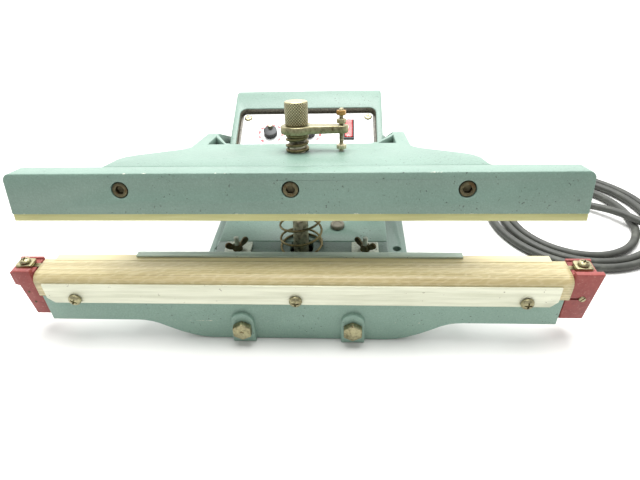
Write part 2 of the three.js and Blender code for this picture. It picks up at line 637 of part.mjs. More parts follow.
function housing() {
  const frontZ = HOUSING_TOP_Z - (HOUSING_TOP_Y - HOUSING_FRONT) * Math.tan(PANEL_TILT);
  const side = (inset, low) => {
    const lean = inset / Math.cos(PANEL_TILT);
    const shape = new THREE.Shape();
    shape.moveTo(HOUSING_FRONT + inset, low);
    shape.lineTo(HOUSING_REAR - inset, low);
    shape.lineTo(HOUSING_REAR - inset, HOUSING_TOP_Z - 10);
    shape.quadraticCurveTo(HOUSING_REAR - inset, HOUSING_TOP_Z + 3 - lean, HOUSING_TOP_Y, HOUSING_TOP_Z - lean);
    shape.lineTo(HOUSING_FRONT + inset, frontZ + inset * Math.tan(PANEL_TILT) - lean);
    return shape;
  };
  const plan = roundedRectangle(2 * HOUSING_HALF, HOUSING_REAR - HOUSING_FRONT + 40, HOUSING_CORNER);
  const rounded = prismZ(plan, 0, HOUSING_TOP_Z + 20, 5)
    .translate(0, (HOUSING_REAR + HOUSING_FRONT) / 2 - 20, 0);
  const box = solid(prismX(side(0, DECK_Z + GAP), -HOUSING_HALF, HOUSING_HALF, 4)).intersect(solid(rounded));
  const hollowHalf = HOUSING_HALF - HOUSING_WALL;
  const thick = PANEL_SUNK + PANEL_T + 3;
  const hollow = solid(prismX(side(thick, DECK_Z), -hollowHalf, hollowHalf, 4))
    .subtract(solid(block(-200, 200, HOUSING_REAR - 12, HOUSING_REAR, 0, 300)));
  const tongue = block(-BASE_HALF, BASE_HALF, JOINT_Y + GAP, TONGUE_END, DECK_Z - DECK_T + GAP, DECK_Z);
  const recess = roundedRectangle(
    PANEL_W + 2 * PANEL_MARGIN, PANEL_H + 2 * PANEL_MARGIN, PANEL_CORNER + PANEL_MARGIN);
  const sunk = onSlope(prismZ(recess, -PANEL_T - GAP, 40, 4));
  const [openHalf, openDeep] = [PANEL_W / 2 - PANEL_REST, PANEL_H / 2 - PANEL_REST];
  const behindPanel = onSlope(block(-openHalf, openHalf, -openDeep, openDeep, -30, 1));
  const shaft = discX(PIVOT_Y, PIVOT_Z, -HOUSING_HALF - 1, HOUSING_HALF + 1, SHAFT_R + 1.2, 20);
  const plugHole = discZ(DECK_PLUG_X, DECK_PLUG_Y, DECK_Z - DECK_T - 1, DECK_Z + 1, DECK_HOLE_D / 2, 16);
  const tongueBody = cut(tongue, rodSlot(0, DECK_Z + 1), plugHole);
  const [seamHalf, seamY] = [HOUSING_HALF - 6, HOUSING_FRONT + HOUSING_WALL];
  const seam = block(-seamHalf, seamHalf, HOUSING_FRONT + 1, seamY, DECK_Z - 4, DECK_Z + 8);
  return cut(box.subtract(hollow).add(tongueBody).add(solid(seam)), sunk, behindPanel, shaft);
}

addPart(machine, 'control_housing', housing(), 'paint');

// the plate is punched for both dial bushes and the switch
function controlPanel() {
  const plate = prismZ(roundedRectangle(PANEL_W, PANEL_H, PANEL_CORNER), -PANEL_T, 0, 4);
  const dialHoles = KNOB_X.map((x) => discZ(x, CONTROL_UP, -PANEL_T - 1, 1, 3.5 + RUN, 14));
  const [w, h] = [ROCKER_W / 2 - 1, ROCKER_H / 2 - 1];
  const switchHole = block(ROCKER_X - w, ROCKER_X + w, CONTROL_UP - h, CONTROL_UP + h, -PANEL_T - 1, 1);
  return cut(plate, ...dialHoles, switchHole);
}

addPart(slope, 'control_panel', controlPanel(), 'panel');

const KNOB_NAMES = ['seal_timer', 'cool_timer'];
KNOB_X.forEach((x, i) => {
  const can = discZ(0, 0, -16, -PANEL_T - GAP, 12, 18);
  const pot = joined(can, discZ(0, 0, -4, 4, 3.5, 14), discZ(0, 0, 3, 10, 3, 12));
  const potMesh = addPart(slope, `${KNOB_NAMES[i]}_potentiometer`, pot, 'core');
  potMesh.position.set(x, CONTROL_UP, 0);
  const body = turned([
    [0, 1], [KNOB_SKIRT_D / 2, 1], [KNOB_SKIRT_D / 2, 3.4], [KNOB_D / 2 + 0.4, 4.2], [KNOB_D / 2, KNOB_H - 1],
    [KNOB_D / 2 - 0.8, KNOB_H], [0, KNOB_H],
  ], 20);
  const bore = discZ(0, 0, 0, 10.4, 3 + RUN, 12);
  const well = discZ(0, 0, 0, 4.6, 3.5 + RUN, 14);
  const knob = addPart(slope, `${KNOB_NAMES[i]}_knob`, cut(body, bore, well), 'black');
  knob.position.set(x, CONTROL_UP, 0);
});

// power switch: a framed body through the panel and a rocker in it
function switchBody() {
  const [w, h] = [ROCKER_W, ROCKER_H];
  const frame = block(-w / 2, w / 2, -h / 2, h / 2, GAP, 2.2);
  const body = block(-w / 2 + 1 + GAP, w / 2 - 1 - GAP, -h / 2 + 1 + GAP, h / 2 - 1 - GAP, -18, 1);
  const [wellHalf, wellDeep] = [w / 2 - ROCKER_BEZEL, h / 2 - ROCKER_BEZEL];
  const well = block(-wellHalf, wellHalf, -wellDeep, wellDeep, -8, 3);
  return cut(joined(frame, body), well);
}

function rockerKey() {
  const [w, h] = [ROCKER_W / 2 - ROCKER_BEZEL - 0.4, ROCKER_H / 2 - ROCKER_BEZEL - 0.9];
  const shape = new THREE.Shape();
  shape.moveTo(-h, -1.5);
  shape.lineTo(-h + 4, -4);
  shape.lineTo(h - 4, -4);
  shape.lineTo(h, -1.5);
  shape.lineTo(h, 3.2);
  shape.quadraticCurveTo(0, 1.6, -h, 3.2);
  return prismX(shape, -w, w, 6);
}

const switchMesh = addPart(slope, 'power_switch_body', switchBody(), 'black');
switchMesh.position.set(ROCKER_X, CONTROL_UP, 0);
const rockerMesh = addPart(slope, 'power_rocker', rockerKey(), 'switchRed');
rockerMesh.position.set(ROCKER_X, CONTROL_UP, 0.6);
rockerMesh.rotation.x = ROCKER_TILT;

// inside: the transformer and the timer board stand on the bottom cover
function transformer() {
  const { width, deep, high, y } = TRANSFORMER;
  const [w, d, low] = [width / 2, deep / 2, COVER_TOP_Z + 9.5];
  const core = block(-w, w, y - d, y + d, low, low + high);
  const feet = block(-w - 6, w + 6, y - d + 6, y + d - 6, COVER_TOP_Z + GAP, low + 2);
  const coil = block(-w + 8, w - 8, y - d - 8, y + d + 8, low + 12, low + high - 10);
  return joined(core, feet, coil);
}

function timerBoard() {
  const { width, deep, x, y } = BOARD;
  const [left, near, low] = [x - width / 2, y - deep / 2, COVER_TOP_Z + 6.5];
  const far = near + deep;
  const board = block(left, left + width, near, far, low, low + 1.6);
  const relay = block(left + 6, left + 32, near + 8, near + 22, low + 1, low + 13);
  const capacitors = block(left + 42, left + 56, near + 10, near + 50, low + 1, low + 17);
  const stand = block(left + 2, left + width - 2, far - 10, far - 2, COVER_TOP_Z + GAP, low + 0.4);
  return joined(board, relay, capacitors, stand);
}

addPart(machine, 'transformer', transformer(), 'core');
addPart(machine, 'timer_board', timerBoard(), 'core');

// closes the wiring hole in the tongue
const [plugR, plugNeckR] = [DECK_PLUG_D / 2, DECK_HOLE_D / 2 - RUN];
const deckPlug = turned([
  [0, -DECK_T], [plugNeckR, -DECK_T], [plugNeckR, GAP], [plugR, GAP],
  [plugR, 3.6], [plugR - 1.2, 4.6], [plugR - 3, 4.6], [plugR - 4, 3.4], [0, 3.4],
], 20);
addPart(machine, 'deck_plug', deckPlug.translate(DECK_PLUG_X, DECK_PLUG_Y, DECK_Z), 'rubber');

// ---------- pivot ----------
const SHAFT_HALF = ARM_OUT + 5;
addPart(machine, 'pivot_shaft', discX(PIVOT_Y, PIVOT_Z, -SHAFT_HALF, SHAFT_HALF, SHAFT_R - 0.05, 24), 'steel');

function bush() {
  const ring = discX(0, 0, ARM_IN + 0.1, ARM_OUT - 0.1, SHAFT_R + BUSH_T, 24);
  return cut(ring, discX(0, 0, ARM_IN - 1, ARM_OUT + 1, SHAFT_R + 0.05, 24));
}

for (const [side, sign] of [['left', -1], ['right', 1]]) {
  const ring = geometryOf(bush()).scale(sign, 1, 1).translate(0, PIVOT_Y, PIVOT_Z);
  addPart(arm, `pivot_bush_${side}`, ring, 'brass');
}

// ---------- arm, drawn closed ----------
const CAP_SCREW_PLACES = [-CAP_SCREW_X, 0, CAP_SCREW_X];

function armCasting() {
  const [top, low] = [ARM_TOP_Z, ARM_TOP_Z - WEB_T];
  const right = [
    [WEB_HALF, FLANGE_Y], [WEB_HALF - 2, 54], [WEB_HALF - 6, 63], [WEB_HALF - 14, 70],
    [WEB_HALF - 50, WEB_REAR - 21], [ARM_OUT, WEB_REAR - 12], [ARM_OUT, WEB_REAR + 4],
    [ARM_IN - 22, WEB_REAR + 4], [ARM_IN - 24, WEB_REAR],
  ];
  const left = right.map(([x, y]) => [-x, y]).reverse();
  const web = prismZ(outline([...right, ...left]), low, top);
  const flange = block(-WEB_HALF + 3, WEB_HALF - 3, FLANGE_Y, FLANGE_Y + FLANGE_T, top - FLANGE_HIGH, top - 1);

  const armSide = new THREE.Shape();
  armSide.moveTo(95, top);
  armSide.lineTo(95, low);
  armSide.lineTo(118, low - 12);
  armSide.lineTo(PIVOT_Y - 12, PIVOT_Z - ARM_BOSS_R + 4);
  armSide.absarc(PIVOT_Y, PIVOT_Z, ARM_BOSS_R, 1.28 * Math.PI, 2.42 * Math.PI);
  armSide.lineTo(ARM_BEND_Y, top);
  const arms = mirrored(prismX(armSide, ARM_IN, ARM_OUT, 9));

  // slanting inner walls leave a pocket beside each arm
  const wall = outline([
    [ARM_IN - 22, WEB_REAR - 4], [ARM_IN - 18, WEB_REAR - 4],
    [ARM_IN + 1, ARM_BEND_Y - 14], [ARM_IN + 1, ARM_BEND_Y - 4],
  ]);
  const walls = mirrored(prismZ(wall, low, top));
  const pocket = outline([[ARM_IN - 18, WEB_REAR], [ARM_IN, WEB_REAR], [ARM_IN, ARM_BEND_Y - 17]]);
  const pockets = mirrored(prismZ(pocket, low - 1, top + 1));

  const rodHole = discZ(0, ROD_Y, low - 1, top + 1, ROD_R + 0.6, 20);
  const plungerHole = discZ(TRIGGER_X, ROD_Y, low - 1, top + 1, PLUNGER_D / 2 + 0.5, 12);
  const screwHoles = CAP_SCREW_PLACES.map((x) => discY(
    x, CAP_SCREW_Z, FLANGE_Y - 1, FLANGE_Y + FLANGE_T - 2, CAP_SHANK_D / 2 + RUN, 12));
  const bores = mirrored(discX(PIVOT_Y, PIVOT_Z, ARM_IN - 1, ARM_OUT + 1, SHAFT_R + BUSH_T + 0.1, 24));
  const casting = joined(web, flange, ...arms, ...walls);
  return cut(casting, ...pockets, rodHole, plungerHole, ...screwHoles, ...bores);
}

addPart(arm, 'arm_casting', armCasting(), 'paint');

function upperBar() {
  const [h, r] = [UPPER_HALF, UPPER_CORNER];
  const shape = new THREE.Shape();
  shape.moveTo(-h, UPPER_BOTTOM_Z);
  shape.lineTo(h, UPPER_BOTTOM_Z);
  shape.absarc(h - r, ARM_TOP_Z - r, r, 0, Math.PI / 2);
  shape.absarc(-h + r, ARM_TOP_Z - r, r, Math.PI / 2, Math.PI);
  const holes = CAP_SCREW_PLACES.flatMap((x) => [
    discY(x, CAP_SCREW_Z, UPPER_FRONT - 1, UPPER_FRONT + CAP_HEAD_H + 1, CAP_HEAD_D / 2 + 0.8, 20),
    discY(x, CAP_SCREW_Z, UPPER_FRONT, UPPER_FRONT + UPPER_T + 1, CAP_SHANK_D / 2 + RUN, 12),
  ]);
  return cut(prismY(shape, UPPER_FRONT, UPPER_FRONT + UPPER_T, 3), ...holes);
}

addPart(arm, 'upper_bar', upperBar(), 'paint');

['left', 'middle', 'right'].forEach((place, i) => {
  const head = discZ(0, 0, 0, CAP_HEAD_H, CAP_HEAD_D / 2, 20);
  const shank = discZ(0, 0, -(UPPER_T - CAP_HEAD_H + FLANGE_T - 4), 1, CAP_SHANK_D / 2, 12);
  const socket = prismZ(polygon(3.9, 6), CAP_HEAD_H - 4.5, CAP_HEAD_H + 1);
  const screw = addPart(arm, `bar_screw_${place}`, cut(joined(head, shank), socket), 'steel');
  screw.rotation.x = Math.PI / 2;
  screw.position.set(CAP_SCREW_PLACES[i], UPPER_FRONT + CAP_HEAD_H + 1 - GAP, CAP_SCREW_Z);
});

const RUBBER_Y = UPPER_FRONT + UPPER_T / 2;
addPart(arm, 'silicone_strip', block(
  -UPPER_HALF - 0.5, UPPER_HALF + 0.5, RUBBER_Y - RUBBER_W / 2, RUBBER_Y + RUBBER_W / 2,
  UPPER_BOTTOM_Z - GAP - RUBBER_T, UPPER_BOTTOM_Z - GAP,
), 'silicone');

// ---------- pull rod and pressure adjuster ----------
const NECK_R = 6;              // threaded top of the rod
const NUT_CAP = 6;             // the nut is closed for this far at its top
const NECK_LOW_Z = NUT_Z - NUT_CAP;
const ROD_TOP_Z = NUT_Z + NUT_H - NUT_CAP;

function pullRod() {
  const linkHole = discX(ROD_Y, ROD_FOOT_Z + 9, -12, 12, 3, 12);
  const rod = cut(discZ(0, ROD_Y, ROD_FOOT_Z, NECK_LOW_Z, ROD_R, 20), linkHole);
  return rod.add(solid(discZ(0, ROD_Y, NECK_LOW_Z - 1, ROD_TOP_Z, NECK_R, 16)));
}

addPart(arm, 'pull_rod', pullRod(), 'steel');

const nutBody = turned([
  [0, 0], [NUT_D / 2 - 0.8, 0], [NUT_D / 2, 0.8], [NUT_D / 2, NUT_H - 1], [NUT_D / 2 - 1, NUT_H], [0, NUT_H],
], 28);
const nutBore = discZ(0, 0, -1, NUT_H - NUT_CAP + RUN, NECK_R + RUN, 16);
addPart(arm, 'knurled_nut', cut(nutBody, nutBore), 'nickel').position.set(0, ROD_Y, NUT_Z);

function lever() {
  const boss = discZ(0, 0, 0, LEVER_T, LEVER_BOSS_D / 2, 24);
  const tip = discZ(TRIGGER_X, 0, 0, LEVER_T, LEVER_TIP_D / 2, 14);
  const bar = prismZ(outline([[0, -9], [TRIGGER_X, -5.5], [TRIGGER_X, 5.5], [0, 9]]), 0, LEVER_T);
  const neck = discZ(0, 0, -1, LEVER_T + 1, NECK_R + RUN, 16);
  const shoulder = discZ(0, 0, -1, NECK_LOW_Z - LEVER_Z + GAP, ROD_R + RUN, 20);
  return cut(joined(boss, tip, bar), neck, shoulder, triggerHole(-1, LEVER_T + 1));
}

// clearance hole for the trigger screw, in the frame of a piece that stands on the lever's plane
function triggerHole(low, high) {
  return discZ(TRIGGER_X, 0, low, high, TRIGGER_D / 2 + RUN, 12);
}

addPart(arm, 'trigger_lever', lever(), 'nickel').position.set(0, ROD_Y, LEVER_Z);

// switch trigger screw: head down, locked above the lever by two nuts
const TRIGGER_FOOT = ARM_TOP_Z + 2.2;
const TRIGGER_TOP = LEVER_Z + LEVER_T + 15;
const triggerHead = hexagon(TRIGGER_AF, TRIGGER_HEAD_H);
const triggerShank = discZ(0, 0, 1, TRIGGER_TOP - TRIGGER_FOOT, TRIGGER_D / 2, 12);
addPart(arm, 'trigger_screw', joined(triggerHead, triggerShank), 'nickel')
  .position.set(TRIGGER_X, ROD_Y, TRIGGER_FOOT);
[1.6, 9].forEach((up, i) => {
  const nut = hexagon(TRIGGER_AF, TRIGGER_NUT_H, i * 0.3).translate(TRIGGER_X, 0, 0);
  addPart(arm, `trigger_nut_${i + 1}`, cut(nut, triggerHole(-1, TRIGGER_NUT_H + 1)), 'nickel')
    .position.set(0, ROD_Y, LEVER_Z + LEVER_T + up);
});

// switch under the web, worked through it by a plunger
const [SWITCH_X, SWITCH_Y, SWITCH_Z] = SWITCH_SIZE;
const SWITCH_TOP = ARM_TOP_Z - WEB_T - GAP;
const PLUNGER_LOW_Z = SWITCH_TOP - 4.5;
const switchBox = new THREE.BoxGeometry(SWITCH_X, SWITCH_Y, SWITCH_Z)
  .translate(TRIGGER_X, ROD_Y, SWITCH_TOP - SWITCH_Z / 2);
const switchBore = discZ(TRIGGER_X, ROD_Y, PLUNGER_LOW_Z - 4.5, SWITCH_TOP + 1, PLUNGER_D / 2 + 0.5, 12);
addPart(arm, 'microswitch', cut(switchBox, switchBore), 'black');
const plunger = discZ(TRIGGER_X, ROD_Y, PLUNGER_LOW_Z, TRIGGER_FOOT - GAP, PLUNGER_D / 2, 12);
addPart(arm, 'switch_plunger', plunger, 'steel');

// ---------- springs ----------
class Coil extends THREE.Curve {
  // centre line from one frame to another: each end is {y, z, tilt}
  constructor(radius, turns, low, high) {
    super();
    Object.assign(this, { radius, turns, low, high });
  }

  getPoint(t, target = V3()) {
    const angle = 2 * Math.PI * this.turns * t;
    const closed = 0.75 / this.turns;    // the end turns lie flat
    const rise = THREE.MathUtils.smoothstep(t, closed * 0.4, 1 - closed * 0.4) * 0.35
      + THREE.MathUtils.clamp((t - closed) / (1 - 2 * closed), 0, 1) * 0.65;
    const mix = (a, b) => a + (b - a) * rise;
    const tilt = mix(this.low.tilt, this.high.tilt);
    const [across, deep] = [this.radius * Math.cos(angle), this.radius * Math.sin(angle)];
    return target.set(
      across,
      mix(this.low.y, this.high.y) + deep * Math.cos(tilt),
      mix(this.low.z, this.high.z) - deep * Math.sin(tilt),
    );
  }
}

const pressureCoil = new Coil((SPRING_D - SPRING_WIRE) / 2, SPRING_TURNS, {
  y: ROD_Y, z: ARM_TOP_Z + GAP + SPRING_WIRE / 2, tilt: 0,
}, {
  y: ROD_Y, z: LEVER_Z - GAP - SPRING_WIRE / 2, tilt: 0,
});
addPart(arm, 'pressure_spring', tubeAlong(pressureCoil, SPRING_WIRE / 2, SPRING_TURNS * 14, 6), 'nickel');

const webUnder = opened(ROD_Y, ARM_TOP_Z - WEB_T - GAP - RETURN_WIRE / 2);
const returnCoil = new Coil((RETURN_D - RETURN_WIRE) / 2, RETURN_TURNS, {
  y: RETURN_SEAT_Y, z: DECK_Z + GAP + RETURN_WIRE / 2, tilt: 0,
}, {
  y: webUnder.y, z: webUnder.z, tilt: OPEN_ANGLE,
});
const returnSteps = Math.round(RETURN_TURNS * 14);
addPart(machine, 'return_spring', tubeAlong(returnCoil, RETURN_WIRE / 2, returnSteps, 6), 'nickel');

// ---------- work-table clamp plates ----------
for (const [side, sign] of [['left', -1], ['right', 1]]) {
  const square = roundedRectangle(TABLE_PLATE, TABLE_PLATE, 1);
  const plate = prismZ(square, DECK_Z + GAP, DECK_Z + GAP + TABLE_PLATE_T, 1);
  const stud = discZ(0, 0, DECK_Z - DECK_T, DECK_Z + STUD_H, STUD_D / 2, 12);
  const clampPlate = addPart(machine, `table_plate_${side}`, joined(plate, stud), 'aluminium');
  clampPlate.position.set(sign * TABLE_X, TABLE_Y, 0);

  const nutLow = DECK_Z + 2 * GAP + TABLE_PLATE_T;
  const hub = turned([[0, 0], [5.2, 0], [4.2, 6.5], [0, 6.5]], 14).translate(0, 0, nutLow);
  const wing = new THREE.Shape();
  wing.moveTo(2.5, 1);
  wing.lineTo(WING_SPAN / 2 - 3, 4);
  wing.absarc(WING_SPAN / 2 - 3.4, 8.2, 3.4, -0.4 * Math.PI, 0.8 * Math.PI);
  wing.lineTo(2.5, 5.5);
  const wings = mirrored(prismY(wing, -1.1, 1.1, 4).translate(0, 0, nutLow));
  const wingNut = cut(joined(hub, ...wings), discZ(0, 0, nutLow - 1, nutLow + 12, STUD_D / 2 + RUN, 12));
  const nut = addPart(machine, `wing_nut_${side}`, wingNut, 'nickel');
  nut.position.set(sign * TABLE_X, TABLE_Y, 0);
  nut.rotation.z = sign * -0.6;
}

// ---------- mains cord ----------
const relief = turned([
  [0, -12], [RELIEF_D / 2, -12], [RELIEF_D / 2, 0], [10.5, 0], [10.5, 4], [RELIEF_D / 2, 5],
  [6.4, RELIEF_LONG], [0, RELIEF_LONG],
], 16);
const reliefMesh = addPart(machine, 'strain_relief', relief, 'rubber');
reliefMesh.rotation.x = -Math.PI / 2;
reliefMesh.position.set(RELIEF_X, BASE_REAR + GAP, RELIEF_Z);

const cordCurve = (points) => new THREE.CatmullRomCurve3(points.map((p) => V3(...p)), false, 'centripetal');
const leadStart = [RELIEF_X, BASE_REAR + RELIEF_LONG + 3 * GAP, RELIEF_Z];
addPart(machine, 'cord_lead', tubeAlong(cordCurve([leadStart, ...LEAD_ROUTE]), CORD_D / 2, 20, 8), 'rubber');
addPart(machine, 'cord_tail', tubeAlong(cordCurve(TAIL_ROUTE), CORD_D / 2, 6, 8), 'rubber');

const [cOut, cIn, cH] = [COIL_OUT, COIL_IN, COIL_H];
const ring = turned([
  [cIn, 5], [cIn + 5, 0.4], [cOut - 5, 0.4], [cOut, 5], [cOut, cH - 6], [cOut - 6, cH],
  [cIn + 6, cH], [cIn, cH - 6], [cIn, 5],
], 28);
addPart(machine, 'cord_coil', ring.translate(COIL_X, COIL_Y, 0), 'rubber');

const [plugX, plugY] = TAIL_ROUTE.at(-1);
const plugBody = turned([
  [0, 0], [5.5, 0], [7, 10], [PLUG_R, 16], [PLUG_R, PLUG_LONG - 4], [PLUG_R - 1, PLUG_LONG], [0, PLUG_LONG],
], 20);
const pins = mirrored(discZ(9.5, 0, PLUG_LONG - 1, PLUG_LONG + 19, 2.4, 10));
const plug = addPart(machine, 'mains_plug', joined(plugBody, ...pins), 'rubber');
plug.rotation.x = Math.PI / 2;
plug.position.set(plugX, plugY - 2 * GAP, PLUG_R);

export default group;
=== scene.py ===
import json
import math

import bmesh
import bpy
from mathutils import Matrix, Vector, noise


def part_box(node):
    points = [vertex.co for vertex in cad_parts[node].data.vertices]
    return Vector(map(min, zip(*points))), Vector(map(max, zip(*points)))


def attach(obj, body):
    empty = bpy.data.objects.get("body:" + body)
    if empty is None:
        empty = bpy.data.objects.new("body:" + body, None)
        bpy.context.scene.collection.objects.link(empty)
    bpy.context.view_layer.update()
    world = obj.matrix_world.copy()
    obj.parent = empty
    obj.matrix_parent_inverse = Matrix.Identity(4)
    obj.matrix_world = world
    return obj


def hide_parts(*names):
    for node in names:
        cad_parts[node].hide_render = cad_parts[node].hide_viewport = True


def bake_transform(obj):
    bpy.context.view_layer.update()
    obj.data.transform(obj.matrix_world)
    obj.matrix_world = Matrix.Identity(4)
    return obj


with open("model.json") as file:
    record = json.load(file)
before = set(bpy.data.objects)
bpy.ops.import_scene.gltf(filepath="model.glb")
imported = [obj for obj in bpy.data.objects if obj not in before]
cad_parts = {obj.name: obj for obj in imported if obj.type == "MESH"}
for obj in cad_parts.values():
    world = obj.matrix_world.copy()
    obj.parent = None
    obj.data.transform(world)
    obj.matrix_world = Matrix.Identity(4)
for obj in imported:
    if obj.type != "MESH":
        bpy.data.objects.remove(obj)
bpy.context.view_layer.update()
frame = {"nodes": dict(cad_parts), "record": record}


# ---- Bench, light and viewpoint -------------------------------------------------------
# The sealer stands on a pale bench in soft light from above and behind, seen from in
# front and above with the jaws open, as a user who feeds bags into it sees it.

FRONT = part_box("jaw_bolt_left")[0].y          # foremost point of the sealer
JAW_FACE = FRONT + 0.0112                     # front face of the lower jaw's casting


def at(x, y, z):
    """A point given in millimetres from the lower jaw's front face, in the row frame."""
    return Vector((x / 1000, JAW_FACE + y / 1000, z / 1000))


PITCH, YAW, ROLL = (math.radians(a) for a in (36.23, 3.93, 2.19))
EYE = at(46.5, -326, 358.2)
LENS_MM = 27.56
camera_data = bpy.data.cameras.new("camera")
camera_data.lens = LENS_MM
camera_data.sensor_width = 36
camera_data.clip_start = 0.01
camera = bpy.data.objects.new("camera", camera_data)
bpy.context.scene.collection.objects.link(camera)
level = Vector((math.cos(YAW), math.sin(YAW), 0))
ahead = Vector((-math.sin(YAW) * math.cos(PITCH), math.cos(YAW) * math.cos(PITCH), -math.sin(PITCH)))
down = ahead.cross(level)
across = math.cos(ROLL) * level + math.sin(ROLL) * down
below = math.cos(ROLL) * down - math.sin(ROLL) * level
turn = Matrix((across, -below, -ahead)).transposed()
camera.matrix_world = Matrix.Translation(EYE) @ turn.to_4x4()
bpy.context.scene.camera = camera


def operator(operation, reflected=False):
    """A method that puts a signal and another value into one Math node, in either order."""
    def method(signal, other):
        pair = (other, signal) if reflected else (signal, other)
        return signal.finish.maths(operation, *pair)
    return method


class Signal:
    """One socket in a material's node tree; arithmetic on it adds Math nodes."""

    __add__ = operator("ADD")
    __radd__ = operator("ADD", reflected=True)
    __sub__ = operator("SUBTRACT")
    __rsub__ = operator("SUBTRACT", reflected=True)
    __mul__ = operator("MULTIPLY")
    __rmul__ = operator("MULTIPLY", reflected=True)
    __pow__ = operator("POWER")
    __gt__ = operator("GREATER_THAN")
    __lt__ = operator("LESS_THAN")

    def __init__(self, finish, socket):
        self.finish, self.socket = finish, socket

    def __abs__(self):
        return self.finish.maths("ABSOLUTE", self)


class Finish:
    """A material under construction: its node tree and its Principled shader."""

    def __init__(self, name, color, roughness, metallic=0.0, **constants):
        self.material = bpy.data.materials.new(name)
        self.material.use_nodes = True
        self.tree = self.material.node_tree
        self.shader = self.tree.nodes["Principled BSDF"]
        self.set("Base Color", (*color, 1.0))
        self.set("Roughness", roughness)
        self.set("Metallic", metallic)
        for socket, constant in constants.items():
            self.set(socket.replace("_", " "), constant)

    def set(self, socket, value):
        if isinstance(value, Signal):
            self.tree.links.new(value.socket, self.shader.inputs[socket])
        else:
            self.shader.inputs[socket].default_value = value

    def node(self, kind, settings=None, values=None, output=0):
        made = self.tree.nodes.new(kind)
        for name, value in (settings or {}).items():
            if name == "stops":
                for place, color in value[:-2]:
                    made.color_ramp.elements.new(place)
                for element, (place, color) in zip(made.color_ramp.elements, value):
                    element.position = place
                    element.color = (*color, 1.0)
            else:
                setattr(made, name, value)
        for name, value in (values or {}).items():
            if isinstance(value, Signal):
                self.tree.links.new(value.socket, made.inputs[name])
            else:
                made.inputs[name].default_value = value
        return Signal(self, made.outputs[output])

    def maths(self, operation, *values):
        return self.node("ShaderNodeMath", {"operation": operation}, dict(enumerate(values)))

    def split(self, vector):
        """The x, y and z of a vector, as three signals."""
        parts = self.node("ShaderNodeSeparateXYZ", None, {"Vector": vector}).socket.node
        return [Signal(self, output) for output in parts.outputs]

    def place(self, scale=(1, 1, 1), rotation=(0, 0, 0), location=(0, 0, 0)):
        """Object coordinates, stretched, turned and shifted as a pattern needs."""
        local = self.node("ShaderNodeTexCoord", output="Object")
        return self.node("ShaderNodeMapping", None, {
            "Vector": local, "Scale": scale, "Rotation": rotation, "Location": location})

    def grain(self, scale, detail=3.0, rough=0.5, where=None):
        return self.node("ShaderNodeTexNoise", None, {
            "Vector": where or self.place(), "Scale": scale, "Detail": detail, "Roughness": rough})

    def ramp(self, signal, *stops):
        return self.node("ShaderNodeValToRGB", {"stops": stops}, {"Fac": signal})

    def blend(self, factor, first, second, how="MIX"):
        first, second = ((*c, 1.0) if isinstance(c, tuple) and len(c) == 3 else c for c in (first, second))
        return self.node("ShaderNodeMix", {"data_type": "RGBA", "blend_type": how},
                         {0: factor, 6: first, 7: second}, output=2)

    def relief(self, height, distance, strength=1.0, under=None):
        values = {"Height": height, "Distance": distance, "Strength": strength}
        if under:
            values["Normal"] = under
        return self.node("ShaderNodeBump", None, values)


def srgb(r, g, b):
    """A colour as an eye reads it, 0 to 255, in the linear values a shader takes."""
    return tuple((v / 255 / 12.92) if v < 10 else ((v / 255 + 0.055) / 1.055) ** 2.4 for v in (r, g, b))


def clear_selection():
    if bpy.context.mode != "OBJECT":
        bpy.ops.object.mode_set(mode="OBJECT")
    for o in bpy.context.selected_objects:
        o.select_set(False)


def select_only(piece):
    """Leaves one piece selected and active, for the operators that act on it."""
    clear_selection()
    piece.select_set(True)
    bpy.context.view_layer.objects.active = piece


clear_selection()
FLOOR_SIZE = 9.0
bpy.ops.mesh.primitive_plane_add(size=FLOOR_SIZE, location=(0, 0, -0.0005))
bench = bpy.context.object
bench.name = "bench"
white = Finish("bench_white", srgb(226, 226, 223), 0.55)
white.set("Roughness", 0.5 + 0.1 * white.grain(6))
bench.data.materials.append(white.material)

# a white wall stands behind the bench and the room in front of it is dimmer
WALL_BRIGHT, ROOM_BRIGHT = 2.1, 0.5
world = bpy.data.worlds.new("studio")
world.use_nodes = True
sky = world.node_tree
facing = sky.nodes.new("ShaderNodeTexCoord")
parts = sky.nodes.new("ShaderNodeSeparateXYZ")
fade = sky.nodes.new("ShaderNodeMapRange")
fade.inputs["From Min"].default_value = -0.3
fade.inputs["From Max"].default_value = 0.6
fade.inputs["To Min"].default_value = ROOM_BRIGHT
fade.inputs["To Max"].default_value = WALL_BRIGHT
sky.links.new(facing.outputs["Generated"], parts.inputs["Vector"])
sky.links.new(parts.outputs["Y"], fade.inputs["Value"])
sky.links.new(fade.outputs["Result"], sky.nodes["Background"].inputs["Strength"])
sky.nodes["Background"].inputs["Color"].default_value = (1.0, 1.0, 1.0, 1)
bpy.context.scene.world = world
bpy.context.scene.view_settings.view_transform = "Standard"


def soft_light(name, place, aim, size, power):
    light = bpy.data.lights.new(name, "AREA")
    light.shape, light.size, light.energy = "DISK", size, power
    lamp = bpy.data.objects.new(name, light)
    bpy.context.scene.collection.objects.link(lamp)
    lamp.location = place
    lamp.rotation_euler = (Vector(aim) - Vector(place)).to_track_quat("-Z", "Y").to_euler()


soft_light("overhead", (0.05, 0.22, 1.55), (0, 0, 0.05), 1.2, 40)
soft_light("front_fill", (-0.5, -1.1, 1.3), (0, 0, 0.05), 1.2, 0.6)


# ---- Mains cord -----------------------------------------------------------------------
# A 9 mm round rubber lead, 2.2 m long, leaves the base at the back, curves round to the
# right and lies in nearly three loose turns; its end crosses over them and runs to the plug.

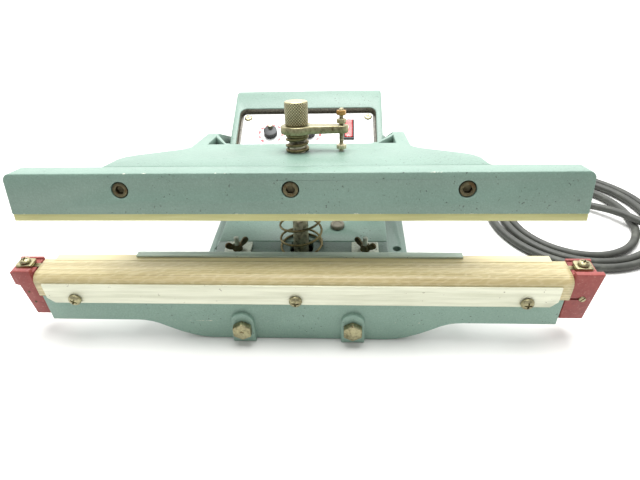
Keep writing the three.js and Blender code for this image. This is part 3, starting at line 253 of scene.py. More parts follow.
CORD_D = 0.009
LEAD_ROUTE = [
    (58, 327, 25.9), (58, 342, 21.5), (60, 362, 10), (72, 383, 5), (94, 397, 4.8), (122, 399, 4.8),
    (154, 390, 4.8), (186, 376, 4.8), (218, 360, 4.8), (250, 344.5, 4.8), (276, 334.8, 4.8),
    (300, 328.5, 4.8),
]
INNER_END = [
    (258, 234, 4.8), (272, 247, 4.8), (292, 254, 4.8), (318, 252, 4.8), (342, 242, 5.5), (362, 228.5, 7.5),
    (378, 214, 10.5), (390, 198, 13.2), (401, 181, 14.3), (412, 166, 14.4),
]
TAIL_ROUTE = [
    (425.5, 149, 13.8), (434, 139, 13.4), (443, 127, 13.2), (449.5, 114, 13.5), (452, 102, 14),
    (452, 90, 14),
]
COIL_CENTRE = (330, 210.5)
COIL_REST_Z = 4.8
TURN_START, TURN_END = 84, -895                 # degrees, run clockwise seen from above
# distance of the strand from the coil's middle, a quarter turn at a time
QUARTER_RADII = [110, 102.5, 106, 99.5, 98, 93, 96, 85, 77, 70.5, 84, 76]
relief_low, relief_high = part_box("strain_relief")
cord_exit = Vector(((relief_low.x + relief_high.x) / 2, relief_high.y + 0.0006, at(0, 0, 26).z))


def smooth_value(values, t):
    """A value between those in a list, on a smooth curve through them."""
    i = max(0, min(len(values) - 2, int(t)))
    u = t - i
    a, b, c, d = (values[max(0, min(len(values) - 1, i + k))] for k in (-1, 0, 1, 2))
    bend = (2 * a - 5 * b + 4 * c - d) * u * u + (3 * b - a - 3 * c + d) * u ** 3
    return 0.5 * (2 * b + (c - a) * u + bend)


cord_points = [cord_exit] + [at(*p) for p in LEAD_ROUTE]
COIL_STEPS = 44
for i in range(COIL_STEPS + 1):
    angle = TURN_START + (TURN_END - TURN_START) * i / COIL_STEPS
    radius = smooth_value(QUARTER_RADII, (90 - angle) / 90)
    x = COIL_CENTRE[0] + radius * math.cos(math.radians(angle))
    y = COIL_CENTRE[1] + radius * math.sin(math.radians(angle))
    cord_points.append(at(x, y, COIL_REST_Z))
cord_points += [at(*p) for p in INNER_END + TAIL_ROUTE]

line = bpy.data.curves.new("mains_cord", "CURVE")
line.dimensions = "3D"
line.bevel_depth = CORD_D / 2
line.bevel_resolution = 6
line.resolution_u = 8
line.use_fill_caps = True
strand = line.splines.new("BEZIER")
strand.bezier_points.add(len(cord_points) - 1)
for k, (knot, point) in enumerate(zip(strand.bezier_points, cord_points)):
    before = cord_points[max(0, k - 1)]
    after = cord_points[min(len(cord_points) - 1, k + 1)]
    run = (after - before).normalized()
    knot.co = point
    knot.handle_left = point - run * (point - before).length / 3
    knot.handle_right = point + run * (after - point).length / 3
cord = bpy.data.objects.new("mains_cord", line)
bpy.context.scene.collection.objects.link(cord)

sheath = Finish("rubber_sheath", srgb(58, 60, 54), 0.55, Specular_IOR_Level=0.55)
dust = sheath.grain(60, 5, 0.6)
sheath.set("Base Color", sheath.ramp(dust, (0.3, srgb(44, 46, 41)), (0.55, srgb(60, 62, 56)),
                                     (0.8, srgb(92, 94, 85))))
sheath.set("Roughness", 0.42 + 0.25 * dust)
sheath.set("Normal", sheath.relief(sheath.grain(900, 3), 0.0002, 0.25))
line.materials.append(sheath.material)
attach(cord, "base")
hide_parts("cord_lead", "cord_coil", "cord_tail")


# ---- Castings -------------------------------------------------------------------------
# The base, housing, arm and both jaws are iron castings sprayed with grey-green hammered
# enamel: fine dimples, dark pits, and chips along the edges that rub. The lower jaw's copy of
# the enamel is lightened, as painted light, and the base's is darkened, as painted shade.

bodies_of = {n: b for b, group in frame["record"]["behaviour"]["bodies"].items() for n in group}
OPEN_ANGLE = math.radians(12.46)
pivot_low, pivot_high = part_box("pivot_shaft")
pivot = Vector((0, (pivot_low.y + pivot_high.y) / 2, (pivot_low.z + pivot_high.z) / 2))
# takes a point of the closed arm to where it stands with the jaws open
lift = Matrix.Translation(pivot) @ Matrix.Rotation(-OPEN_ANGLE, 4, "X") @ Matrix.Translation(-pivot)


def enamel(name, edges, arm=False, chips=1.0, shade=1.0):
    """Hammered enamel; edges are pairs of axis values, in metres, whose meeting lines are chipped."""
    # shade scales the enamel's tones: above 1 it is painted light, below 1 painted shade
    def grey_green(r, g, b):
        return srgb(r * shade, g * shade, b * shade)

    paint = Finish(name, grey_green(110, 136, 123), 0.32, Specular_IOR_Level=0.62)
    if arm:
        back = lift.inverted()
        local = paint.place(rotation=(OPEN_ANGLE, 0, 0), location=back.to_translation())
    else:
        local = paint.place()
    x, y, z = paint.split(local)
    axes = {"x": abs(x), "y": y, "z": z}
    dimples = paint.node("ShaderNodeTexVoronoi", {"feature": "SMOOTH_F1"}, {
        "Vector": local, "Scale": 520, "Randomness": 1.0, "Smoothness": 0.6})
    drift = paint.grain(9, 4, 0.6, local)
    fine = paint.grain(700, 4, 0.6, local)
    tone = paint.ramp(0.55 * drift + 0.45 * fine, (0.3, grey_green(96, 121, 109)),
                      (0.52, grey_green(111, 137, 124)), (0.75, grey_green(124, 150, 137)))
    tone = paint.blend((0.42 - dimples) * 0.5, tone, grey_green(146, 170, 158))
    pits = (paint.grain(430, 2, 0.5, local) > 0.685) * (paint.grain(24, 3, 0.5, local) > 0.5)
    tone = paint.blend(pits * 0.75, tone, srgb(52, 62, 58))
    wear = None
    ragged = paint.grain(260, 5, 0.7, local) * 0.7 + paint.grain(38, 3, 0.6, local) * 0.6
    for (axis_a, value_a), (axis_b, value_b) in edges:
        reach = abs(axes[axis_a] - value_a) + abs(axes[axis_b] - value_b)
        here = reach < (ragged - 0.7) * 0.009 * chips
        wear = here if wear is None else paint.maths("MAXIMUM", wear, here)
    if wear is not None:
        tone = paint.blend(wear, tone, srgb(196, 199, 182))
    paint.set("Base Color", tone)
    paint.set("Roughness", 0.3 + 0.2 * drift + 0.12 * fine)
    surface = paint.relief(dimples, 0.0006, 0.35)
    surface = paint.relief(pits, 0.0004, -0.6, surface)
    paint.set("Normal", paint.relief(paint.grain(30, 3, 0.5, local), 0.002, 0.15, surface))
    return paint


def refine(node, edge, finish, angle=32, smooth=38, rounded=None):
    """A copy of a CAD node, merged, with its edges rounded as a casting's or a plate's are; rounded
    is a radius and a test, of an edge's two ends, for those that are rounded more."""
    piece = bpy.data.objects.new(node + "_piece", frame["nodes"][node].data.copy())
    bpy.context.scene.collection.objects.link(piece)
    select_only(piece)
    bpy.ops.object.mode_set(mode="EDIT")
    bpy.ops.mesh.select_all(action="SELECT")
    bpy.ops.mesh.remove_doubles(threshold=0.00001)
    bpy.ops.mesh.dissolve_limited(angle_limit=math.radians(1.5))
    if rounded:
        bpy.ops.mesh.select_mode(type="EDGE")
        bpy.ops.mesh.select_all(action="DESELECT")
        form = bmesh.from_edit_mesh(piece.data)
        for line in form.edges:
            line.select = line.calc_face_angle(0) > 0.5 and rounded[1](*(point.co for point in line.verts))
        bmesh.update_edit_mesh(piece.data)
        bpy.ops.mesh.bevel(offset=rounded[0], segments=5)
    bpy.ops.object.mode_set(mode="OBJECT")
    rounding = piece.modifiers.new("edges", "BEVEL")
    rounding.width = edge
    rounding.segments = 2
    rounding.limit_method = "ANGLE"
    rounding.angle_limit = math.radians(angle)
    rounding.use_clamp_overlap = False
    bpy.ops.object.modifier_apply(modifier=rounding.name)
    bpy.ops.object.shade_smooth_by_angle(angle=math.radians(smooth))
    piece.data.materials.clear()
    piece.data.materials.append(finish.material)
    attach(piece, bodies_of[node])
    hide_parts(node)
    return piece


jaw_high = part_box("lower_jaw_casting")[1]
# the lower jaw's enamel is lightened by 1.14, as painted light on its front
lightened_lower_paint = enamel("enamel_lower_jaw_lightened", [
    (("z", 0.023), ("y", JAW_FACE)), (("x", jaw_high.x), ("y", JAW_FACE))], chips=0.55, shade=1.14)
refine("lower_jaw_casting", 0.0007, lightened_lower_paint)
base_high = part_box("base_casting")[1]
# the base's enamel is darkened by 0.82, as painted shade on the deck under the arm
darkened_base_paint = enamel("enamel_base_darkened", [
    (("x", at(88, 0, 0).x), ("z", at(0, 0, 55.4).z)),
    (("x", base_high.x), ("z", 0.012))], chips=0.7, shade=0.82)
refine("base_casting", 0.0007, darkened_base_paint)
housing_paint = enamel("enamel_housing", [])
PANEL_TILT = math.radians(24.3)
panel_origin = at(0, 200.61, 123.66)
# the recess round the panel's plate, in millimetres along the panel, up it and out of it
PLATE_HALF_U, PLATE_HALF_V = 76.6, 31.1
RECESS_HALF_U, RECESS_HALF_V = 80.4, 35
RECESS_FLOOR, RECESS_RIM = -4, 5.2


def local_millimetres(finish, origin, tilt):
    """X, y and z in millimetres of a frame that leans back by tilt about X, and all three as one."""
    local = finish.node("ShaderNodeTexCoord", output="Object")
    flat = finish.node("ShaderNodeMapping", {"vector_type": "TEXTURE"}, {
        "Vector": local, "Location": origin, "Rotation": (tilt, 0, 0), "Scale": (0.001, 0.001, 0.001)})
    return *finish.split(flat), flat


# the walls of the recess round the panel are painted dark brown-grey, as painted shade in the recess
u, v, w, flat = local_millimetres(housing_paint, panel_origin, PANEL_TILT)
off_plate = housing_paint.maths("MAXIMUM", abs(u) > PLATE_HALF_U, abs(v) > PLATE_HALF_V)
in_recess = off_plate * (abs(u) < RECESS_HALF_U) * (abs(v) < RECESS_HALF_V)
wall = in_recess * (w < RECESS_RIM) * (w > RECESS_FLOOR)
painted = Signal(housing_paint, housing_paint.shader.inputs["Base Color"].links[0].from_socket)
recess_painted_shade = housing_paint.ramp(housing_paint.grain(0.5, 4, 0.6, flat),
                          (0.35, srgb(58, 54, 44)), (0.7, srgb(128, 122, 104)))
housing_paint.set("Base Color", housing_paint.blend(wall, painted, recess_painted_shade))
CORNER_R = 0.0065


def back_corner(a, b):
    """Whether an edge between two points is one of the housing's upright corners at the back."""
    return min(a.y, b.y) > at(0, 258, 0).y and min(abs(a.x), abs(b.x)) > 0.06 and abs(a.z - b.z) > 0.02


refine("control_housing", 0.0009, housing_paint, rounded=(CORNER_R, back_corner))
ARM_TOP = 118.1
arm_top = at(0, 0, ARM_TOP).z
arm_paint = enamel("enamel_arm", [], arm=True)
refine("arm_casting", 0.0008, arm_paint)
bar_face = at(0, 7.3, 0).y
bar_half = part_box("upper_bar")[1].x
bar_paint = enamel("enamel_upper_bar", [
    (("z", arm_top), ("y", bar_face)), (("z", at(0, 0, 82.5).z), ("y", bar_face)),
    (("x", bar_half), ("y", bar_face)),
    (("x", bar_half - 0.002), ("z", arm_top - 0.002))], arm=True, chips=0.75)
refine("upper_bar", 0.0009, bar_paint)


# ---- Metals ---------------------------------------------------------------------------
# Screws, nuts, springs and levers are steel with a dulled, warm nickel or zinc plate; the
# clamp strips are rolled aluminium sheet, stained where hands and glue have been.

def plated(name, pale, dark, rough=0.34, streak=(1, 1, 1), stain=0.5, metallic=1.0, detail=420):
    metal = Finish(name, pale, rough, metallic)
    broad = metal.grain(45, 4, 0.6, metal.place(scale=streak))
    fine = metal.grain(detail, 5, 0.65, metal.place(scale=streak))
    bright = tuple(min(1, c * 1.2) for c in pale)
    tone = metal.ramp(0.5 * broad + 0.5 * fine, (0.32, dark), (0.55, pale), (0.8, bright))
    spots = (metal.grain(190, 4, 0.7) > (1.14 - stain)) * 0.7
    metal.set("Base Color", metal.blend(spots, tone, srgb(96, 74, 48)))
    metal.set("Roughness", rough - 0.1 + 0.35 * fine + 0.2 * spots)
    metal.set("Normal", metal.relief(fine, 0.0002, 0.35))
    return metal


nickel = plated("warm_nickel", srgb(172, 166, 132), srgb(84, 77, 52))
zinc = plated("zinc_plate", srgb(166, 163, 144), srgb(90, 86, 70), 0.38)
spring_wire = plated("spring_wire", srgb(134, 124, 90), srgb(58, 51, 34), 0.36)
tarnished = plated("tarnished_steel", srgb(104, 98, 76), srgb(40, 36, 28), 0.42, stain=0.56)
worn_plate = plated("worn_plate", srgb(190, 196, 182), srgb(104, 112, 100), 0.46, metallic=0.5, stain=0.5)
strip_metal = plated("rolled_aluminium", srgb(226, 227, 208), srgb(190, 192, 168), 0.44, (0.05, 1, 1),
                     stain=0.44, metallic=0.55, detail=260)
bar_metal = plated("bar_aluminium", srgb(205, 205, 192), srgb(160, 160, 145), 0.4, (0.05, 1, 1))
bronze = plated("oiled_bronze", srgb(176, 140, 84), srgb(104, 76, 40), 0.36)
dull_strip = plated("dull_aluminium", srgb(176, 190, 178), srgb(112, 126, 116), 0.5, (0.06, 1, 1),
                    stain=0.46, metallic=0.5, detail=260)
refine("front_clamp_strip", 0.0003, strip_metal)
refine("rear_clamp_plate", 0.0003, dull_strip)
refine("sealing_bar", 0.0005, bar_metal)
refine("heating_element", 0.00004, nickel)
refine("bottom_cover", 0.0003, zinc)
refine("pivot_shaft", 0.0008, zinc)
for side in ("left", "right"):
    refine("table_plate_" + side, 0.0005, worn_plate)
    refine("pivot_bush_" + side, 0.0003, bronze)
    refine("element_clamp_" + side, 0.0004, nickel)


# ---- Screws, bolts and wing nuts ------------------------------------------------------
# Cap screws hold the upper bar, bolts the lower jaw and wing nuts the table plates. The
# pan heads have a pressed cross recess, and the faces inside it are painted dark brown.

for place in ("left", "middle", "right"):
    refine("bar_screw_" + place, 0.0005, tarnished)
for side in ("left", "right"):
    refine("wing_nut_" + side, 0.0004, tarnished)
    refine("jaw_bolt_" + side, 0.0008, nickel)
    refine("clamp_screw_" + side, 0.0004, nickel)
for k in (1, 2, 3):
    refine(f"strip_screw_{k}", 0.0004, nickel)


def subtract(piece, cutter):
    """Cuts one object out of another and removes the cutter."""
    hollow = piece.modifiers.new("recess", "BOOLEAN")
    hollow.operation = "DIFFERENCE"
    hollow.solver = "EXACT"
    hollow.object = cutter
    select_only(piece)
    bpy.ops.object.modifier_apply(modifier=hollow.name)
    bpy.data.objects.remove(cutter)


def add_box(name, low, high, turn=0.0, axis="Z"):
    """A box between two corners, turned about its own middle, with its transform applied."""
    clear_selection()
    low, high = Vector(low), Vector(high)
    bpy.ops.mesh.primitive_cube_add(size=1, location=(low + high) / 2)
    made = bpy.context.object
    made.name = name
    made.scale = high - low
    setattr(made.rotation_euler, axis.lower(), turn)
    bpy.ops.object.transform_apply(location=True, rotation=True, scale=True)
    return made


# the faces that the cutters leave inside cross recesses and slots are painted dark brown
recess_dark = Finish("recess_dark_faces", srgb(46, 42, 32), 0.7)
recess_dark.set("Base Color", recess_dark.ramp(recess_dark.grain(500, 3), (0.35, srgb(34, 30, 22)), (0.7, srgb(92, 84, 62))))


def recess(node, facing, width, deep, turn):
    """Cuts a cross in the head of a screw that faces the front (-Y) or up (+Z)."""
    piece = bpy.data.objects[node + "_piece"]
    low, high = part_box(node)
    middle = (low + high) / 2
    half, thin = width / 2, width / 9
    for angle in (turn, turn + math.pi / 2):
        if facing == "front":
            cutter = add_box("cutter", (middle.x - half, low.y - 0.001, middle.z - thin),
                             (middle.x + half, low.y + deep, middle.z + thin), angle, "Y")
        else:
            cutter = add_box("cutter", (middle.x - half, middle.y - thin, high.z - deep),
                             (middle.x + half, middle.y + thin, high.z + 0.001), angle, "Z")
        cutter.data.materials.append(recess_dark.material)
        subtract(piece, cutter)


for k, turn in ((1, 0.5), (2, 0.1), (3, 0.0)):
    recess(f"strip_screw_{k}", "front", 0.0068, 0.0022, turn)
recess("clamp_screw_left", "up", 0.0058, 0.0018, 0.35)
recess("clamp_screw_right", "up", 0.0058, 0.0018, 0.9)


# ---- Element cloth --------------------------------------------------------------------
# Glass cloth coated with tan fluoropolymer covers the ribbon: one strip comes up behind
# the front clamp strip, bends over the bar's nose and goes back under the rear plate.

cloth_low, cloth_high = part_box("ptfe_cloth")
CLOTH_LEFT, CLOTH_RIGHT = at(-239.6, 0, 0).x, cloth_high.x - 0.0004
CLOTH_T = 0.0002
COLUMNS = 96
front_y, top_z = cloth_low.y + 0.0001, cloth_high.z - 0.0002
profile = [(front_y, cloth_low.z + 0.0002), (front_y, 0.058), (front_y, 0.064), (front_y, 0.0685),
           (front_y + 0.0004, 0.0712), (front_y + 0.0015, 0.0733), (front_y + 0.0032, 0.075),
           (front_y + 0.0057, 0.0762), (front_y + 0.009, top_z), (front_y + 0.015, top_z),
           (front_y + 0.021, top_z), (at(0, 26, 0).y, top_z)]
fold = bpy.data.curves.new("cloth_fold", "CURVE")
fold.dimensions = "3D"
run = fold.splines.new("POLY")
run.points.add(len(profile) - 1)
for knot, (y, z) in zip(run.points, profile):
    knot.co = (0, y, z, 1)
cloth = bpy.data.objects.new("element_cloth", fold)
bpy.context.scene.collection.objects.link(cloth)
select_only(cloth)
bpy.ops.object.convert(target="MESH")
bpy.ops.object.mode_set(mode="EDIT")
bpy.ops.mesh.select_all(action="SELECT")
bpy.ops.transform.translate(value=(CLOTH_LEFT, 0, 0))
for k in range(COLUMNS):
    bpy.ops.mesh.extrude_edges_move(
        TRANSFORM_OT_translate={"value": ((CLOTH_RIGHT - CLOTH_LEFT) / COLUMNS, 0, 0)})
bpy.ops.mesh.select_all(action="SELECT")
bpy.ops.mesh.normals_make_consistent(inside=False)
bpy.ops.object.mode_set(mode="OBJECT")
for vertex in cloth.data.vertices:
    x, y, z = vertex.co
    ripple = noise.noise(Vector((x * 26, y * 30, z * 20))) + 0.6 * noise.noise(Vector((x * 70, 3, z * 40)))
    if z > 0.064:
        vertex.co.y += 0.00012 * min(0.6, ripple) if y < front_y + 0.006 else 0
        vertex.co.z += 0.00014 * min(0.6, ripple) if z > top_z - 0.001 else 0
bpy.ops.object.shade_smooth_by_angle(angle=math.radians(50))
thickness = cloth.modifiers.new("thickness", "SOLIDIFY")
thickness.thickness = CLOTH_T
thickness.offset = 0
bpy.ops.object.modifier_apply(modifier=thickness.name)

tan = Finish("coated_glass_cloth", srgb(206, 186, 138), 0.34, Specular_IOR_Level=0.6, Coat_Weight=0.25,
             Coat_Roughness=0.3)
lines = tan.grain(60, 5, 0.6, tan.place(scale=(0.03, 26, 26)))
fine_lines = tan.grain(150, 3, 0.5, tan.place(scale=(0.02, 30, 30)))
blotch = tan.grain(14, 4, 0.6, tan.place(scale=(0.5, 2, 2)))
weave = tan.node("ShaderNodeTexWave", {"wave_type": "BANDS", "bands_direction": "X"}, {
    "Vector": tan.place(), "Scale": 300, "Distortion": 0.4, "Detail": 1})
moire_sheen = tan.node("ShaderNodeTexWave", {"wave_type": "BANDS", "bands_direction": "X"}, {
    "Vector": tan.place(rotation=(0, 0, 0.5), scale=(1, 5, 5)), "Scale": 26, "Distortion": 7, "Detail": 2,
    "Detail Scale": 2.4})
shade = tan.ramp(0.5 * lines + 0.38 * fine_lines + 0.12 * blotch, (0.38, srgb(140, 124, 80)),
                 (0.46, srgb(180, 164, 116)), (0.54, srgb(204, 190, 142)), (0.62, srgb(230, 220, 178)))
# wavy lighter and darker bands across the cloth are painted sheen
shade = tan.blend((moire_sheen - 0.5) * 0.4, shade, srgb(232, 224, 184))
NOSE_Z = 0.0735
height = tan.split(tan.place())[2]
worn = ((abs(height - NOSE_Z) * 400 < 1.0) * (lines > 0.52)) * 0.4
tan.set("Base Color", tan.blend(worn, shade, srgb(150, 126, 84)))
tan.set("Roughness", 0.26 + 0.3 * lines + 0.1 * weave)
tan.set("Normal", tan.relief(0.6 * lines + 0.3 * weave + 0.5 * moire_sheen, 0.0003, 0.4))
cloth.data.materials.append(tan.material)
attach(cloth, "base")
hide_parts("ptfe_cloth")

# a second, paler strip lies over the cloth's back edge and under the rear plate
flap_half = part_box("rear_clamp_plate")[1].x + 0.0775
flap = add_box("cloth_flap", (-flap_half, at(0, 24.6, 0).y, top_z + 0.0001),
               (flap_half, cloth_high.y, cloth_high.z - 0.00001))
bpy.ops.object.mode_set(mode="EDIT")
bpy.ops.mesh.select_all(action="SELECT")
bpy.ops.mesh.subdivide(number_cuts=3)
bpy.ops.object.mode_set(mode="OBJECT")
pale = Finish("folded_cloth", srgb(226, 213, 170), 0.42, Specular_IOR_Level=0.5)
threads = pale.grain(120, 5, 0.6, pale.place(scale=(0.04, 14, 14)))
pale.set("Base Color", pale.ramp(threads, (0.3, srgb(198, 182, 136)), (0.5, srgb(222, 208, 164)),
                                 (0.72, srgb(238, 228, 192))))
pale.set("Normal", pale.relief(threads, 0.0004, 0.4))
flap.data.materials.append(pale.material)
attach(flap, "base")


# ---- Rubber, resin and moulded plastics -----------------------------------------------
# The pressing strip is cream silicone, the element's end blocks are red laminate, and the
# plug, the cord relief and the switch's body are moulded in black.

silicone = Finish("silicone", srgb(218, 212, 152), 0.5, Subsurface_Weight=0.12,
                  Subsurface_Radius=(0.004, 0.003, 0.002))
cloudy = silicone.grain(18, 4, 0.6, silicone.place(scale=(0.4, 3, 3)))
marks = silicone.grain(150, 4, 0.6, silicone.place(scale=(0.15, 4, 4)))
silicone.set("Base Color", silicone.ramp(0.6 * cloudy + 0.4 * marks, (0.3, srgb(176, 174, 118)),
                                         (0.52, srgb(194, 192, 134)), (0.75, srgb(208, 206, 154))))
silicone.set("Roughness", 0.4 + 0.25 * marks)
silicone.set("Normal", silicone.relief(marks, 0.0003, 0.3))
refine("silicone_strip", 0.0005, silicone)

laminate = Finish("red_laminate", srgb(158, 58, 56), 0.42, Specular_IOR_Level=0.45)
layers = laminate.grain(150, 4, 0.6, laminate.place(scale=(1, 0.15, 1)))
cloudy = laminate.grain(24, 4, 0.6)
red = laminate.ramp(0.5 * layers + 0.5 * cloudy, (0.3, srgb(120, 50, 47)), (0.52, srgb(146, 66, 61)),
                    (0.75, srgb(164, 86, 78)))
dusty = laminate.grain(420, 4, 0.7) > 0.6
laminate.set("Base Color", laminate.blend(dusty * 0.25, red, srgb(196, 140, 126)))
laminate.set("Roughness", 0.36 + 0.25 * cloudy)
laminate.set("Normal", laminate.relief(layers, 0.0003, 0.35))
for side in ("left", "right"):
    refine("end_block_" + side, 0.0006, laminate)

# the right block is grooved across, beside its slotted screw, and down its inner end
for low, high in ((at(242.4, 2.0, 51.2), at(254, 5.4, 53.2)), (at(239.5, 2.0, 27), at(240.4, 4.0, 66))):
    groove = add_box("cutter", low, high)
    groove.data.materials.append(laminate.material)
    subtract(bpy.data.objects["end_block_right_piece"], groove)


def apply_turn(piece, tilt, place):
    """Turns a piece built at the origin about X, sets it in place and applies both."""
    select_only(piece)
    piece.rotation_euler = (tilt, 0, 0)
    piece.location = place
    bpy.ops.object.transform_apply(location=True, rotation=True, scale=True)
    bpy.ops.object.shade_smooth_by_angle(angle=math.radians(40))


def bevel_edges(piece, width, segments):
    select_only(piece)
    rounding = piece.modifiers.new("edges", "BEVEL")
    rounding.width, rounding.segments = width, segments
    rounding.limit_method, rounding.angle_limit = "ANGLE", math.radians(40)
    bpy.ops.object.modifier_apply(modifier=rounding.name)


def front_stud(name, place, wide, tall, finish, turn=None):
    """A small round head on a front face, with a slot if a turn is given."""
    clear_selection()
    bpy.ops.mesh.primitive_cylinder_add(vertices=28, radius=wide / 2, depth=tall, location=(0, 0, tall / 2))
    head = bpy.context.object
    head.name = name
    bevel_edges(head, tall * 0.4, 3)
    head.data.materials.append(finish.material)
    if turn is not None:
        cutter = add_box("cutter", (-wide, -wide * 0.09, tall * 0.5), (wide, wide * 0.09, tall * 2), turn)
        cutter.data.materials.append(recess_dark.material)
        subtract(head, cutter)
    apply_turn(head, math.pi / 2, place)
    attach(head, "base")


front_stud("block_screw", at(254.5, 3.1, 52.2), 0.0062, 0.0021, nickel, 0.9)
# the left block has two blind pins
front_stud("block_pin_1", at(-251.5, 3.1, 55.5), 0.0024, 0.0008, tarnished)
front_stud("block_pin_2", at(-249.5, 3.1, 43), 0.0024, 0.0008, tarnished)


def moulding(name, color, light, rough=0.4):
    plastic = Finish(name, color, rough, Specular_IOR_Level=0.5)
    broad, fine = plastic.grain(60, 4, 0.6), plastic.grain(900, 3, 0.6)
    plastic.set("Base Color", plastic.ramp(0.6 * broad + 0.4 * fine, (0.35, color), (0.7, light)))
    plastic.set("Roughness", rough - 0.08 + 0.25 * broad)
    plastic.set("Normal", plastic.relief(fine, 0.0002, 0.25))
    return plastic


black = moulding("black_plastic", srgb(24, 25, 26), srgb(46, 48, 48))
grommet = moulding("grey_rubber", srgb(104, 100, 86), srgb(146, 142, 126), 0.6)
core_paper = moulding("phenolic", srgb(96, 66, 38), srgb(130, 92, 54), 0.55)
refine("deck_plug", 0.0006, grommet)
refine("power_switch_body", 0.0005, black)
refine("mains_plug", 0.0012, black)
refine("strain_relief", 0.0006, black)
for body in ("seal_timer_potentiometer", "cool_timer_potentiometer"):
    refine(body, 0.0004, zinc)
for body in ("transformer", "microswitch"):
    refine(body, 0.0006, core_paper)
green = moulding("circuit_board", srgb(28, 74, 44), srgb(52, 104, 66), 0.35)
refine("timer_board", 0.0003, green)


# ---- Control panel --------------------------------------------------------------------
# A white enamelled plate lies in the housing's sloping recess on four cross-head screws,
# printed with a broken red ring round each timer dial and small grey scale marks.

DIAL_U = (-42, 2)                     # the dials' places along the panel, in millimetres
RING_R, SCALE_R = 13.4, 18
DASHES = 12


def on_panel(u, v, w):
    """A point of the panel, in millimetres along it, up it and out of it."""
    c, s = math.cos(PANEL_TILT), math.sin(PANEL_TILT)
    return panel_origin + Vector((u, v * c - w * s, v * s + w * c)) / 1000


printed = Finish("printed_panel", srgb(246, 247, 245), 0.3, Coat_Weight=0.3, Coat_Roughness=0.15)
u, v, _, flat = local_millimetres(printed, panel_origin, PANEL_TILT)
smudge = printed.grain(0.08, 4, 0.6, flat)
sheet_white = printed.ramp(smudge, (0.3, srgb(236, 238, 236)), (0.6, srgb(248, 249, 248)))
for dial in DIAL_U:
    across = u - dial
    distance = (across * across + v * v) ** 0.5
    bearing = printed.maths("ARCTAN2", across, v)
    dash = printed.maths("FRACT", bearing * (DASHES / (2 * math.pi)) + 20)
    ring = (abs(distance - RING_R) < 1.5) * (dash < 0.66) * (abs(bearing) < 2.6)
    sheet_white = printed.blend(ring * 0.95, sheet_white, srgb(196, 34, 38))
    ticks = (abs(distance - SCALE_R) < 0.9) * (dash < 0.14) * (abs(bearing) < 2.5)
    sheet_white = printed.blend(ticks * 0.7, sheet_white, srgb(120, 124, 128))
letters = printed.grain(0.9, 2, 0.5, flat) > 0.5
rows = (abs(v - 22.5) < 1.0) * (abs(abs(u - 4) - 29) < 20) + (abs(v + 23) < 0.8) * (abs(u - 45) < 9)
sheet_white = printed.blend(letters * rows * 0.55, sheet_white, srgb(110, 114, 120))
# a band about 1 mm wide round the plate's edge is painted grey, as painted shade in the gap round the plate
edge_painted_shade = printed.maths("MAXIMUM", abs(u) > 75.6, abs(v) > 30.2)
printed.set("Base Color", printed.blend(edge_painted_shade * 0.6, sheet_white, srgb(120, 118, 108)))
printed.set("Roughness", 0.24 + 0.15 * smudge)
printed.set("Normal", printed.relief(printed.grain(0.4, 3, 0.5, flat), 0.0002, 0.15))
refine("control_panel", 0.0003, printed)


def cross_head(name, place, wide, tall, turn, washer):
    """A pan-head screw, with the washer under it, that stands on the panel at a point."""
    clear_selection()
    bpy.ops.mesh.primitive_cylinder_add(vertices=32, radius=wide / 2, depth=tall, location=(0, 0, tall / 2))
    head = bpy.context.object
    head.name = name
    bevel_edges(head, tall * 0.42, 4)
    head.data.materials.append(nickel.material)
    for k in range(2):
        cutter = add_box("cutter", (-wide * 0.3, -wide * 0.06, tall * 0.45),
                         (wide * 0.3, wide * 0.06, tall * 2), turn + k * math.pi / 2)
        cutter.data.materials.append(recess_dark.material)
        subtract(head, cutter)
    clear_selection()
    bpy.ops.mesh.primitive_torus_add(major_radius=wide / 2 - washer * 0.3, minor_radius=washer / 2,
                                     major_segments=40, minor_segments=10)
    ring = bpy.context.object
    ring.name = name + "_washer"
    ring.scale = (1, 1, 0.6)
    ring.data.materials.append(tarnished.material)
    for piece in (head, ring):
        apply_turn(piece, PANEL_TILT, place)
        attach(piece, "base")


SCREW_U, SCREW_V = 70.5, 24.6
corners = [(u0, v0) for v0 in (SCREW_V, -SCREW_V) for u0 in (-SCREW_U, SCREW_U)]
for k, (u0, v0) in enumerate(corners):
    cross_head(f"panel_screw_{k + 1}", on_panel(u0, v0, 0.05), 0.0084, 0.0030, 0.3 + k * 0.8, 0.0018)


# ---- Timer knobs ----------------------------------------------------------------------
# Each knob is moulded in one with its skirt, fluted for grip and capped with a sunk disc,
# and pressed on its shaft.

GRIP_R, GRIP_H, GRIP_MIDDLE = 0.0077, 0.0126, 0.0106
FLUTE_EVERY, FLUTE_WIDE = 20, 9                 # degrees round the grip
knob_black = Finish("knob_black", srgb(28, 29, 30), 0.42, Specular_IOR_Level=0.5)
speck = knob_black.grain(700, 4, 0.6)
knob_black.set("Base Color", knob_black.ramp(speck, (0.35, srgb(22, 23, 24)), (0.7, srgb(58, 60, 60))))
knob_black.set("Roughness", 0.34 + 0.25 * speck)
knob_black.set("Normal", knob_black.relief(speck, 0.0002, 0.2))


